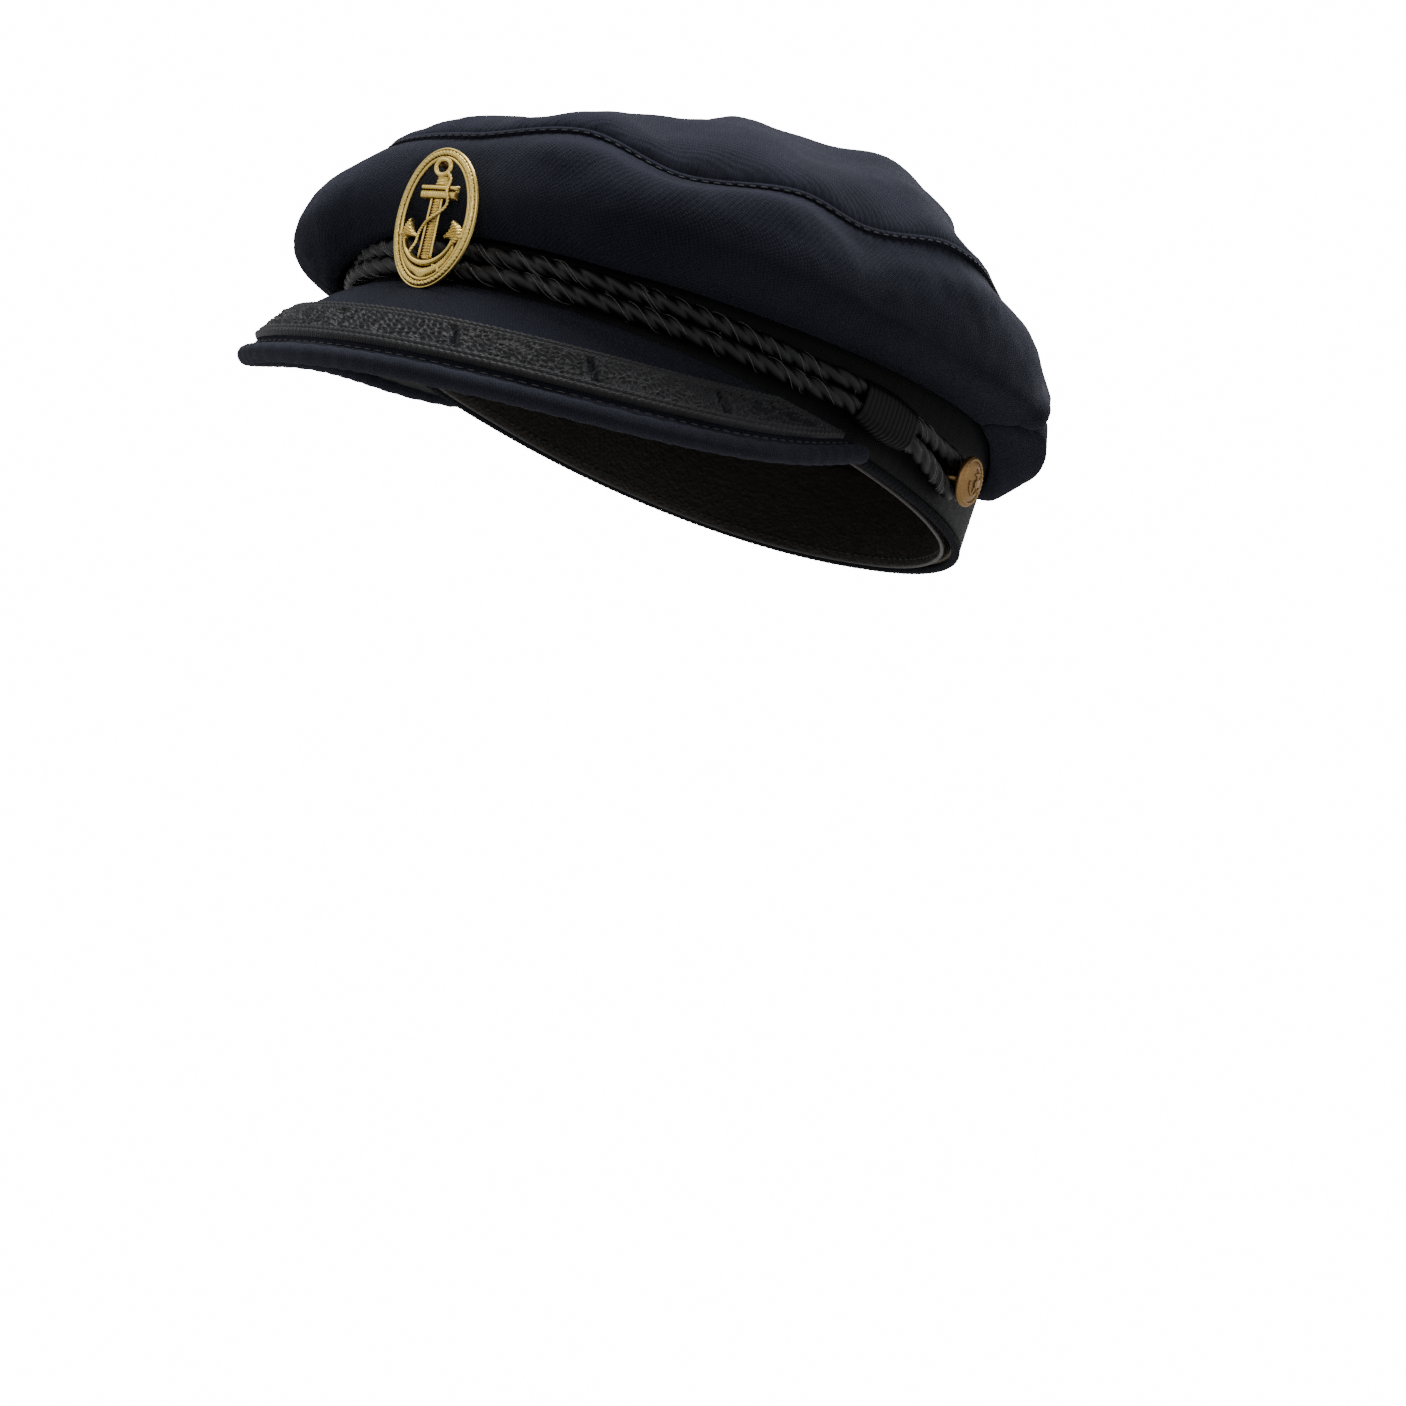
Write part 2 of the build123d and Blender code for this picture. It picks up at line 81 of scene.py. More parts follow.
def even(points, count):
    """Catmull-Rom curve through points, resampled at even spacing."""
    p = np.asarray(points, float)
    p = np.vstack([2 * p[0] - p[1], p, 2 * p[-1] - p[-2]])
    out = []
    for i in range(1, len(p) - 2):
        f = np.linspace(0, 1, 24, endpoint=False)[:, None]
        a, b, c, d = p[i - 1], p[i], p[i + 1], p[i + 2]
        out.append(0.5 * (2 * b + (c - a) * f + (2 * a - 5 * b + 4 * c - d) * f**2 + (3 * b - a - 3 * c + d) * f**3))
    q = np.vstack(out + [p[-2][None]])
    length = run(q)
    want = np.linspace(0, length[-1], count)
    return np.stack([np.interp(want, length, q[:, k]) for k in range(q.shape[1])], -1)


def rough(points, size, seed=0.0):
    """Smooth noise at every point of an array, for bumps about size mm across."""
    flat = points.reshape(-1, 3) / size + seed
    return np.array([noise.noise(Vector(p)) for p in flat]).reshape(points.shape[:-1])


def normals(grid, close_u=False):
    du = np.roll(grid, -1, 0) - np.roll(grid, 1, 0) if close_u else np.gradient(grid, axis=0)
    dv = np.gradient(grid, axis=1)
    n = np.cross(du, dv)
    return n / np.maximum(np.linalg.norm(n, axis=-1, keepdims=True), 1e-9)


def arc_uv(grid):
    """Texture coordinates in mm along a grid, measured on its middle row and middle column."""
    rows, cols = grid.shape[:2]
    return np.stack(np.meshgrid(run(grid[:, cols // 2]), run(grid[rows // 2]), indexing="ij"), -1)


# ---------------------------------------------------------------- mesh helpers


def make(name, verts, faces, material, uv=None):
    me = bpy.data.meshes.new(name)
    me.from_pydata((np.asarray(verts, float) * 0.001).tolist(), [], faces)
    me.materials.append(material)
    if uv is not None:
        layer = me.uv_layers.new(name="UVMap")
        index = np.zeros(len(me.loops), int)
        me.loops.foreach_get("vertex_index", index)
        layer.data.foreach_set("uv", (np.asarray(uv, float)[index] * 0.01).ravel())
    me.polygons.foreach_set("use_smooth", [True] * len(me.polygons))
    ob = bpy.data.objects.new(name, me)
    bpy.context.scene.collection.objects.link(ob)
    return ob


def grid_faces(rows, cols, close_u=False, close_v=False, start=0, flip=False):
    faces = []
    for i in range(rows if close_u else rows - 1):
        for j in range(cols if close_v else cols - 1):
            a, b = i * cols + j, i * cols + (j + 1) % cols
            c, d = (i + 1) % rows * cols + (j + 1) % cols, (i + 1) % rows * cols + j
            quad = [start + k for k in (a, b, c, d)]
            faces.append(quad[::-1] if flip else quad)
    return faces


def facing(ob, measure):
    """Flips a mesh's faces where measure(face), weighted by area, adds up to less than 0."""
    ob.data.update()
    if sum(p.area * measure(p) for p in ob.data.polygons) < 0:
        ob.data.flip_normals()
    return ob


def face_up(ob, up=1):
    return facing(ob, lambda p: up * p.normal.z)


def face_out(ob, out=1):
    """Turns a wall's faces away from the cap's axis, or towards it with -1."""
    return facing(ob, lambda p: out * (p.normal.x * p.center.x + p.normal.y * p.center.y))


def thicken(ob, thick, quality=False):
    solid = ob.modifiers.new("thickness", "SOLIDIFY")
    solid.thickness, solid.offset = thick * 0.001, -1
    solid.use_quality_normals = quality
    return ob


def cloth(name, grid, material, thick, uv=None):
    """Sheet from a grid of points, thickened away from its outer face."""
    rows, cols = grid.shape[:2]
    uv = arc_uv(grid) if uv is None else uv
    ob = make(name, grid.reshape(-1, 3), grid_faces(rows, cols), material, uv.reshape(-1, 2))
    return thicken(ob, thick, True) if thick else ob


def domed_cloth(name, grid, material, thick, rise=0.0, up=1):
    """Round sheet from rings of points, closed in the middle."""
    rings, count = grid.shape[:2]
    verts = np.vstack([grid[0].mean(0) + [0, 0, rise], grid.reshape(-1, 3)])
    faces = grid_faces(rings, count, False, True, start=1)
    faces += [[0, 1 + (k + 1) % count, 1 + k] for k in range(count)]
    return thicken(face_up(make(name, verts, faces, material, verts[:, :2]), up), thick)


class Bag:
    """Gathers many small shapes into one mesh."""

    def __init__(self):
        self.verts, self.faces, self.uv, self.count = [], [], [], 0

    def add(self, verts, faces, uv=None):
        verts = np.asarray(verts, float).reshape(-1, 3)
        uv = verts[:, :2] if uv is None else np.asarray(uv, float).reshape(-1, 2)
        self.faces += [[self.count + k for k in f] for f in faces]
        self.verts.append(verts)
        self.uv.append(uv)
        self.count += len(verts)

    def done(self, name, material, place=None):
        verts = np.vstack(self.verts)
        return make(name, place(verts) if place else verts, self.faces, material, np.vstack(self.uv))


def carried(path, closed, up):
    """Tangent and two cross directions along a path, turned as little as possible from the first one."""
    if closed:
        t = np.roll(path, -1, 0) - np.roll(path, 1, 0)
    else:
        t = np.gradient(path, axis=0)
    t /= np.linalg.norm(t, axis=1, keepdims=True)
    n = np.zeros_like(t)
    side = np.cross(np.cross(t[0], up), t[0])
    n[0] = side / np.linalg.norm(side)
    for i in range(1, len(t)):
        k = n[i - 1] - t[i] * (n[i - 1] @ t[i])
        n[i] = k / np.linalg.norm(k)
    b = np.cross(t, n)
    if closed:
        end = n[-1] - t[0] * (n[-1] @ t[0])
        twist = math.atan2(end @ b[0], end @ n[0])
        a = (-twist * np.arange(len(t)) / len(t))[:, None]
        n, b = n * np.cos(a) + b * np.sin(a), b * np.cos(a) - n * np.sin(a)
    return t, n, b


def tube(path, radius, sides=12, closed=False, up=(0, 0, 1), bag=None):
    """Round tube; radius is a number or a function of (distance along, angle round) arrays."""
    path = np.asarray(path, float)
    bag = bag or Bag()
    t, n, b = carried(path, closed, np.array(up, float))
    along = run(path)[:, None]
    total = along[-1, 0] + (np.linalg.norm(path[0] - path[-1]) if closed else 0)
    round_ = np.linspace(0, 2 * PI, sides, endpoint=False)[None]
    r = radius(along, round_, total) if callable(radius) else radius + 0 * along + 0 * round_
    spokes = n[:, None] * (r * np.cos(round_))[..., None] + b[:, None] * (r * np.sin(round_))[..., None]
    uv = np.stack(np.broadcast_arrays(along, round_ * 3), -1)
    rows = len(path)
    faces = grid_faces(rows, sides, closed, True, flip=True)
    if not closed:
        faces += [list(range(sides)), [(rows - 1) * sides + k for k in range(sides)][::-1]]
    bag.add(path[:, None] + spokes, faces, uv)
    return bag


def rope_radius(radius, strands, lay, depth=0.16, hand=1):
    """Cross-section of a laid rope: a few rounded strands that turn once every lay mm."""

    def at_point(along, round_, total):
        turns = max(1, round(total / lay)) / total
        phase = strands * (round_ - hand * 2 * PI * turns * along)
        return radius * (1 - depth * (1 - np.abs(np.cos(phase / 2))) ** 1.3)

    return at_point


def lathe(profile, sides=48, bag=None):
    """Turned shape about +X from (x, radius) points."""
    bag = bag or Bag()
    a = np.linspace(0, 2 * PI, sides, endpoint=False)[:, None]
    x, r = np.asarray(profile, float).T
    grid = np.stack([x + 0 * a, r * np.cos(a), r * np.sin(a)], -1)
    bag.add(grid, grid_faces(sides, len(profile), True, flip=True), np.stack([x + 0 * a, r + 0 * a], -1))
    return bag


def capsules(points, aims, outs, length, width, height):
    """Short rounded stitches lying along aims at the points, standing a little out of the cloth."""
    bag = Bag()
    u = np.linspace(0, PI, 7)[:, None]
    a = np.linspace(0, 2 * PI, 8, endpoint=False)[None]
    for p, aim, out in zip(points, aims, outs):
        aim = aim / np.linalg.norm(aim)
        side = np.cross(aim, out)
        side /= np.linalg.norm(side)
        out = np.cross(side, aim)
        shape = (
            p
            + aim * (-np.cos(u) * length / 2 + 0 * a)[..., None]
            + side * (np.sin(u) ** 0.6 * np.cos(a) * width / 2)[..., None]
            + out * (np.sin(u) ** 0.6 * np.sin(a) * height / 2)[..., None]
        )
        bag.add(shape, grid_faces(7, 8, False, True, flip=True))
    return bag


def stitch_line(path, outs, pitch, length, width, height):
    """Even run of stitches along a path."""
    steps = run(path)
    want = np.arange(pitch / 2, steps[-1], pitch)

    def sample(values, shift=0.0):
        return np.stack([np.interp(want + shift, steps, values[:, k]) for k in range(3)], -1)

    p = sample(path)
    aim = sample(path, 0.2) - p
    aim[-1] = aim[-2]
    return capsules(p, aim, sample(outs), length, width, height)


# ---------------------------------------------------------------- materials


class Look:
    """A material, with shorthand for wiring its nodes."""

    def __init__(self, name, colour, rough_, metal=0.0, sheen=0.0, specular=0.5):
        self.mat = bpy.data.materials.new(name)
        self.mat.use_nodes = True
        self.tree = self.mat.node_tree
        self.shader = self.tree.nodes["Principled BSDF"]
        values = {"Base Color": (*colour, 1), "Roughness": rough_, "Metallic": metal}
        values |= {"Specular IOR Level": specular, "Sheen Weight": sheen, "Sheen Tint": (0.75, 0.8, 1.0, 1)}
        for socket, value in values.items():
            self.shader.inputs[socket].default_value = value
        self.uv = self.new("ShaderNodeUVMap").outputs["UV"]

    def done(self, **sockets):
        for key, value in sockets.items():
            self.set(self.shader, key.replace("_", " "), value)
        return self.mat

    def new(self, kind, **inputs):
        node = self.tree.nodes.new(kind)
        for key, value in inputs.items():
            self.set(node, key.replace("_", " "), value)
        return node

    def set(self, node, key, value):
        socket = node.inputs[int(key) if key.isdigit() else key]
        if isinstance(value, bpy.types.NodeSocket):
            self.tree.links.new(value, socket)
        else:
            socket.default_value = value

    def mapped(self, scale, turn=0.0):
        node = self.new("ShaderNodeMapping", Vector=self.uv)
        node.inputs["Scale"].default_value = scale
        node.inputs["Rotation"].default_value = (0, 0, turn)
        return node.outputs["Vector"]

    def wave(self, scale, distortion=0.0, detail=0.0, vector=None, direction="X"):
        node = self.new("ShaderNodeTexWave", Vector=vector or self.uv, Scale=scale)
        self.set(node, "Distortion", distortion)
        self.set(node, "Detail", detail)
        node.bands_direction = direction
        return node.outputs["Fac"]

    def noise(self, scale, detail=2.0, vector=None, roughness=0.5):
        place = vector or self.uv
        node = self.new("ShaderNodeTexNoise", Vector=place, Scale=scale, Detail=detail, Roughness=roughness)
        return node.outputs["Fac"]

    def math(self, op, a, b):
        node = self.tree.nodes.new("ShaderNodeMath")
        node.operation = op
        self.set(node, "0", a)
        self.set(node, "1", b)
        return node.outputs[0]

    def times(self, a, b):
        return self.math("MULTIPLY", a, b)

    def plus(self, a, b):
        return self.math("ADD", a, b)

    def spread(self, value, low, high):
        return self.new("ShaderNodeMapRange", Value=value, To_Min=low, To_Max=high).outputs["Result"]

    def bump(self, height, strength, distance, under=None):
        node = self.new("ShaderNodeBump", Height=height, Strength=strength, Distance=distance)
        if under is not None:
            self.set(node, "Normal", under)
        return node.outputs["Normal"]

    def blend(self, factor, low, high, start=0.0, end=1.0):
        node = self.new("ShaderNodeValToRGB", Fac=factor)
        ramp = node.color_ramp
        ramp.elements[0].position, ramp.elements[1].position = start, end
        ramp.elements[0].color, ramp.elements[1].color = (*low, 1), (*high, 1)
        return node.outputs["Color"]


def period(mm):
    """Wave scale for bands of about this pitch; one texture unit is 100 mm."""
    return 100 / mm * 2 * PI / 20


def woven(name, colour, light, rib=1.1, angle=0.9, sheen=0.105, lint=True):
    """Twill: fine slanted ribs cut by threads, mottled, with a few pale fibres."""
    n = Look(name, colour, 0.9, sheen=sheen, specular=0.12)
    ribs = n.wave(period(rib), 1.1, 3.0, n.mapped((1, 1, 1), angle))
    threads = n.wave(period(rib * 0.62), 1.6, 3.0, n.mapped((1, 1, 1), angle + 1.35))
    fuzz = n.noise(110, 5, n.mapped((1, 1.7, 1), angle + 0.3), 0.75)
    height = n.plus(n.times(n.times(ribs, threads), 0.38), n.times(fuzz, 1.1))
    tone = n.plus(n.times(n.noise(5, 3), 0.35), n.times(height, 0.8))
    base = n.blend(tone, colour, light, 0.46, 0.92)
    if lint:
        speck = n.noise(70, 2, n.mapped((1, 3.2, 1), 0.5))
        mix = n.new("ShaderNodeMix", Factor=n.times(n.math("GREATER_THAN", speck, 0.735), 0.5))
        mix.data_type = "RGBA"
        n.set(mix, "6", base)
        n.set(mix, "7", (0.07, 0.075, 0.09, 1))
        base = mix.outputs[2]
    return n.done(Base_Color=base, Normal=n.bump(height, 0.75, 0.0005))


def ribbed_black():
    """Mohair band: upright broken ribs with a watered sheen."""
    n = Look("band_mohair", (0.004, 0.004, 0.005), 0.65, sheen=0.02, specular=0.15)
    ribs = n.wave(period(0.9), 2.2, 3.0, n.mapped((1, 0.2, 1)))
    broken = n.noise(60, 4, n.mapped((1, 0.25, 1)))
    watered = n.noise(9, 4, n.mapped((2.5, 0.6, 1)))
    base = n.blend(watered, (0.0025, 0.0025, 0.003), (0.010, 0.010, 0.011), 0.35, 0.75)
    return n.done(Base_Color=base, Normal=n.bump(n.times(ribs, broken), 0.5, 0.0005))


def thread(name, colour, rough_=0.36, fibre=0.22, sheen=0.1, lean=0.0, specular=0.55):
    """Satin yarn: fine fibres along the strand."""
    n = Look(name, colour, rough_, sheen=sheen, specular=specular)
    fibres = n.wave(period(fibre), 1.2, 2.0, n.mapped((1, 1, 1), lean), "Y")
    return n.done(Normal=n.bump(n.plus(fibres, n.noise(300, 3)), 0.35, 0.00012))


def braided():
    """Embroidery yarn of the braid."""
    n = Look("braid_black", (0.009, 0.009, 0.010), 0.5, sheen=0.08, specular=0.3)
    threads = n.wave(period(0.45), 3.5, 3.0, n.mapped((1, 1, 1), 1.0))
    base = n.blend(n.noise(30, 3), (0.006, 0.006, 0.007), (0.022, 0.022, 0.024), 0.3, 0.7)
    return n.done(Base_Color=base, Normal=n.bump(n.plus(threads, n.noise(200, 4)), 0.5, 0.0002))


def satin_lining():
    """Smooth fine weave with soft creases."""
    n = Look("lining_satin", (0.012, 0.012, 0.016), 0.34, sheen=0.05)
    fine = n.wave(period(0.35), 0.3, 1.0, n.mapped((1, 1, 1), 0.8))
    creases = n.noise(7, 3, n.mapped((1, 2.5, 1)))
    return n.done(Normal=n.bump(creases, 0.35, 0.004, n.bump(fine, 0.25, 0.0001)))


def hide(name, colour, gloss=0.42):
    """Leather with fine grain."""
    n = Look(name, colour, gloss, specular=0.45)
    cells = n.new("ShaderNodeTexVoronoi", Vector=n.uv, Scale=95.0).outputs["Distance"]
    grain = n.bump(n.plus(cells, n.noise(60, 4)), 0.4, 0.0003)
    return n.done(Normal=grain, Roughness=n.spread(n.noise(25, 3), gloss - 0.1, gloss + 0.15))


def board(name, colour):
    """Dull card or foam."""
    n = Look(name, colour, 0.85)
    return n.done(Normal=n.bump(n.noise(80, 5), 0.3, 0.0003))


def brass(name, bright, dark, gloss):
    """Lacquered brass, darker in the hollows, with fine scratches."""
    n = Look(name, bright, gloss, metal=1.0)
    where = n.new("ShaderNodeTexCoord").outputs["Object"]
    hollow = n.new("ShaderNodeAmbientOcclusion", Distance=0.0009)
    hollow.samples = 8
    # base colour darker in the hollows, from the ambient occlusion node, mottled by noise
    hollow_darkening = n.times(hollow.outputs["AO"], n.plus(n.noise(500, 4, where), 0.45))
    return n.done(
        Base_Color=n.blend(hollow_darkening, dark, bright, 0.25, 0.8),
        Roughness=n.spread(n.noise(900, 3, where), gloss - 0.08, gloss + 0.2),
        Normal=n.bump(n.noise(1500, 3, where), 0.12, 0.0001),
    )


CLOTH = woven("crown_wool", (0.0038, 0.0044, 0.0088), (0.026, 0.0285, 0.047))
PEAK_CLOTH = woven("peak_wool", (0.0035, 0.0042, 0.0085), (0.020, 0.022, 0.037), 0.8, 0.5, 0.09)
RIM_CLOTH = woven("rim_wool", (0.006, 0.007, 0.012), (0.034, 0.037, 0.054), 0.7, 0.3, 0.12)
WELT = woven("welt_cloth", (0.006, 0.0065, 0.009), (0.020, 0.021, 0.026), 0.6, 0.4, 0.06, lint=False)
MOHAIR = ribbed_black()
BRAID = braided()
CORD = thread("cord_satin", (0.0035, 0.0035, 0.0045), 0.36, 0.4, 0.0, 0.75, 0.3)
# light grey filament colour: painted highlight on the black cord's strands
PAINTED_GLINT = thread("cord_painted_highlight", (0.20, 0.20, 0.21), 0.3)
SLIDE_YARN = thread("slide_yarn", (0.003, 0.0033, 0.0033), 0.45, 0.25, 0.0, specular=0.15)
SEWING = thread("sewing_thread", (0.005, 0.005, 0.008), 0.55)
LINING = satin_lining()
LEATHER = hide("sweatband_leather", (0.022, 0.017, 0.014))
UNDERLAY = hide("peak_underlay", (0.012, 0.012, 0.014), 0.5)
FOAM = board("stay_foam", (0.5, 0.49, 0.45))
CARD = board("stiff_card", (0.22, 0.19, 0.15))
BRASS = brass("brass_bright", (0.86, 0.64, 0.20), (0.09, 0.053, 0.010), 0.22)
BRASS_WORN = brass("brass_worn", (0.34, 0.205, 0.082), (0.06, 0.03, 0.010), 0.36)

# ---------------------------------------------------------------- crown


def sag(t):
    """1 where the crown slumps over the cord, at the wearer's right front."""
    return through(-np.degrees(t), [(6, 0), (34, 1), (62, 1), (98, 0), (180, 0)])


def low_edge(t):
    """Lowest point of the cloth hanging over the band."""
    deg = np.degrees(t)
    low = 33.0 - 17.0 * ((1 + np.cos(t)) / 2) ** 1.8
    low = low - 8.5 * hump(np.abs(deg), 147, 15) - 2.0 * hump(np.abs(deg), 171, 12)
    return low * (1 - sag(t)) + 6.5 * sag(t)


def seam_wave(t):
    """How far the top seam rides above its plane."""
    deg = np.degrees(t)
    left = [(0, 1), (18, 5.6), (34, -1.2), (50, 2.9), (62, -0.6), (79, 4.2), (96, 3.4)]
    left += [(119, 1.0), (140, 1.2), (180, 0)]
    right = [(0, 1), (20, 0.8), (42, -5.0), (66, -3.2), (88, 0), (112, 3.0), (138, 0), (180, 0)]
    return np.where(deg >= 0, through(deg, left), through(-deg, right))


def seam_oval(t, side=95.0, length=105.5):
    """Radius, from the middle of the head opening, of the top seam's oval, which lies further forward."""
    square = (np.sin(t) / side) ** 2 + (np.cos(t) / length) ** 2
    half = SEAM_FORWARD * np.cos(t) / length**2
    oval_r = (half + np.sqrt(half**2 - square * ((SEAM_FORWARD / length) ** 2 - 1))) / square
    return oval_r - 10.5 * hump(np.degrees(t), 128, 25) - 4.5 * hump(np.degrees(t), 102, 13)


def seam_at(t):
    r = seam_oval(t)
    return r, 62.0 - math.tan(SEAM_TILT) * r * np.cos(t) + seam_wave(t)


def widest(t, power=2.5):
    """Radius of the crown's widest line."""
    return oval(t, 100.0, 118.0 if math.cos(t) > 0 else 112.0, power)


def side_profile(t):
    """Section of the side wall: (radius, height) from the band, round the hanging fold, to the top seam."""
    low, slump = low_edge(t), float(sag(t))
    c = math.cos(t)
    deg = abs(math.degrees(t))
    bulge_r = widest(t, 2.5 + 0.3 * c)
    bulge_r += 1.5 * hump(deg, 106, 11) - 0.5 * hump(deg, 132, 18) + 2.5 * slump
    bulge_z = 38.0 - 6.0 * c - 7 * hump(deg, 137, 22) - 12.0 * slump
    seam_r, seam_z = seam_at(t)
    fold_r, fold_z = band(t) + 4.4 + 6.5 * slump, low + 3.8
    turn = np.radians([180, 225, 270, 318])
    top = max(fold_z + 4, (fold_z + 36.5) / 2) * (1 - slump) + 27 * slump
    points = [(band(t) + 0.7, 36.5), (band(t) + 0.7, top)]
    points += list(zip(fold_r + 3.7 * np.cos(turn), fold_z + 3.7 * np.sin(turn)))
    points.append((fold_r + 0.86 * (bulge_r - fold_r), low + 0.45 * (bulge_z - low)))
    points.append((bulge_r, bulge_z))
    shoulder = hump(math.degrees(t), -52, 22)
    full = 0.72 + 0.4 * shoulder - 0.12 * slump - 0.2 * hump(deg, 132, 22)
    points.append((seam_r + full * (bulge_r - seam_r), bulge_z + (0.55 + 0.1 * shoulder) * (seam_z - bulge_z)))
    points.append((seam_r - 0.3, seam_z - 0.8))
    return even(points, ROWS)


ROWS = 64  # rows of the side wall's grid, from the band up
V = np.linspace(0, 1, ROWS)


def rear_seam(sign):
    """Angle of the side seam for every row from the band up: it wanders back and forth."""
    wander = 1.0 if sign > 0 else 0.45
    return sign * np.radians(118 + wander * (9 * hump(V, 0.66, 0.13) + 3.0 * hump(V, 0.86, 0.10)))


def side_surface(from_, to, count, swell):
    """Grid of the side wall between two seams (an angle for every row), with its folds and ripples."""
    u = np.linspace(0, 1, count)[:, None]
    t = from_[None] + (to - from_)[None] * u
    fine = np.linspace(-PI, PI, 721)
    sections = np.array([side_profile(a) for a in fine])
    wrapped = (t + PI) % (2 * PI) - PI
    columns = [[np.interp(wrapped[:, j], fine, sections[:, j, k]) for j in range(ROWS)] for k in (0, 1)]
    r, z = np.array(columns).transpose(0, 2, 1)
    grid = at(t, r, z)
    shown = through(V, [(0.26, 0), (0.42, 1)])[None]
    top = through(V, [(0.80, 1), (0.985, 0)])[None]
    d = 2.6 * rough(grid, 46, 3.1) + 1.1 * rough(grid * [1, 1, 0.6], 17, 8.3) + 0.25 * rough(grid, 5, 1.7)
    deg = np.degrees(wrapped)
    # hollows and swellings that pull on the top seam
    for where, height, across, tall, amount in (
        (35, 0.93, 7, 0.10, -3.2), (62, 0.92, 6, 0.10, -2.6), (20, 0.84, 9, 0.14, 1.6), (48, 0.86, 6, 0.12, 1.8),
        (86, 0.82, 12, 0.16, 2.0), (104, 0.62, 9, 0.22, 2.6), (6, 0.70, 9, 0.2, -1.2), (-24, 0.85, 10, 0.12, -1.8),
        (-58, 0.8, 12, 0.15, 1.6), (-90, 0.85, 9, 0.12, -1.6),
    ):
        d = d + amount * hump(deg, where, across) * hump(V[None], height, tall)
    # small puckers just under the top seam
    d = d + 0.45 * np.sin(wrapped * 61 + 3 * np.sin(wrapped * 5)) * hump(V[None], 0.95, 0.05)
    d = d * top * shown
    d = np.where(d < 0, d * (1 - 0.85 * hump(deg, 0, 34) * hump(V[None], 0.6, 0.3)), d)
    out = normals(grid)
    if (out[count // 2, 50] * grid[count // 2, 50])[:2].sum() < 0:
        out = -out
    grid = grid + out * d[..., None]
    # the wall dives into the side seams and swells beside them
    for seam in (from_, to):
        gap = np.abs(t - seam[None]) * r
        tall = through(V, [(0.3, 0), (0.45, 1), (0.8, 0.8), (1, 0)])[None]
        dive = through(V, [(0.27, 0.3), (0.4, 1), (0.95, 0.6), (1, 0)])[None]
        push = swell * hump(gap, 9, 6.5) * tall - 3.4 * np.exp(-gap / 2.2) * dive
        push = push + 0.6 * np.sin(V * 70)[None] * np.exp(-gap / 5) * shown * top
        grid = grid + out * push[..., None]
    return grid


left_seam, right_seam = rear_seam(1), rear_seam(-1)
back_seam = np.full(ROWS, PI - 0.002)
front_wall = side_surface(right_seam, left_seam, 520, 3.0)
rear_left = side_surface(left_seam, back_seam, 150, 0.8)
rear_right = side_surface(-back_seam, right_seam, 150, 0.8)


def crown_top():
    """Grid of the top panel: rings from the middle to a turned rim that laps over the side wall."""
    share = np.sin(np.linspace(0.0015, 1, 86) * PI / 2)[:, None]
    t = np.linspace(-PI, PI, 481)[:-1][None]
    rise, level = math.sin(SEAM_TILT), math.cos(SEAM_TILT)
    r = seam_oval(t, 95.6, 106.1) * share
    y = (-r * np.cos(t) + SEAM_FORWARD * share) / level
    full = 31.0 * (1 - share**2.2) ** 0.588
    slope = through(share, [(0, 31), (0.3, 30), (0.5, 26), (0.72, 16.5), (0.82, 10.2), (0.9, 5.2), (1, 0)])
    lean = hump(np.degrees(t), 128, 36)
    lift = full * (1 - lean) + slope * lean
    z = 60.87 + y * rise + lift * level + seam_wave(t) * share**7
    grid = np.stack(np.broadcast_arrays(r * np.sin(t), y * level - lift * rise - SEAM_FORWARD, z), -1)
    d = 2.2 * rough(grid, 62, 5.5) + 1.3 * rough(grid, 27, 2.2) + 0.3 * rough(grid, 8, 6.1)
    # crests and hollows of the slumped cloth, in line with the wearer's left rear
    x, y = grid[..., 0], grid[..., 1]
    ridge = [(-98, -4.5), (-87, -3.5), (-72, -5), (-56, -5.6), (-41, -3), (-25, 2), (-9, 7), (7, 5.2), (22, 4)]
    ridge += [(38, 6.9), (55, 5), (66, -0.5), (75, -3), (94, -4.5)]
    d = d + through(0.756 * x + 0.655 * y, ridge) * hump(0.655 * x - 0.756 * y, 20, 42)
    for cx, cy, wide, tall, turn, amount in (
        (9, -96, 13, 13, 0, -3.2), (-28, -107, 14, 14, 0, -2.0), (51, -15, 12, 12, 0, 1.6),
        (84, -3, 15, 15, 0, -4.2), (-14, -34, 24, 24, 0, -4.5), (-26, -56, 40, 36, 0, -8.0), (66, -52, 11, 24, 0.5, -2.6),
        (42, -88, 8, 15, 0.9, -2.2), (88, -30, 6, 15, 0.1, -2.0), (84, -2, 7, 22, -0.2, 2.4),
        (52, 70, 7, 26, 0.8, -3.2), (66, 60, 9, 24, 0.8, 2.2), (-30, -92, 8, 18, -0.7, -1.5),
        (14, -96, 9, 10, 0.2, 1.6), (-62, 40, 12, 26, -0.6, -1.8),
    ):
        c, s = math.cos(turn), math.sin(turn)
        across, along = (x - cx) * c + (y - cy) * s, (y - cy) * c - (x - cx) * s
        d = d + amount * hump(across, 0, wide) * hump(along, 0, tall)
    # gathers that run in from the rim
    d = d + 0.5 * np.sin(t * 47 + 4 * np.sin(t * 3)) * hump(share, 0.985, 0.03)
    d = d * (1 - share**30)
    out = normals(grid.transpose(1, 0, 2), True).transpose(1, 0, 2)
    if out[40, 100, 2] < 0:
        out = -out
    grid = grid + out * d[..., None]
    rim_r, rim_z = seam_at(t[0])
    lap = ((0.8, 0.0), (1.15, -0.8), (0.85, -1.7), (0.1, -2.0))
    turned = [at(t[0], rim_r + push, rim_z + drop) for push, drop in lap]
    return np.concatenate([grid, np.array(turned)]), t[0]


top_grid, rim_angles = crown_top()


def finish_piece(ob, body, node):
    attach(ob, body)
    if node:
        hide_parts(node)
    return ob


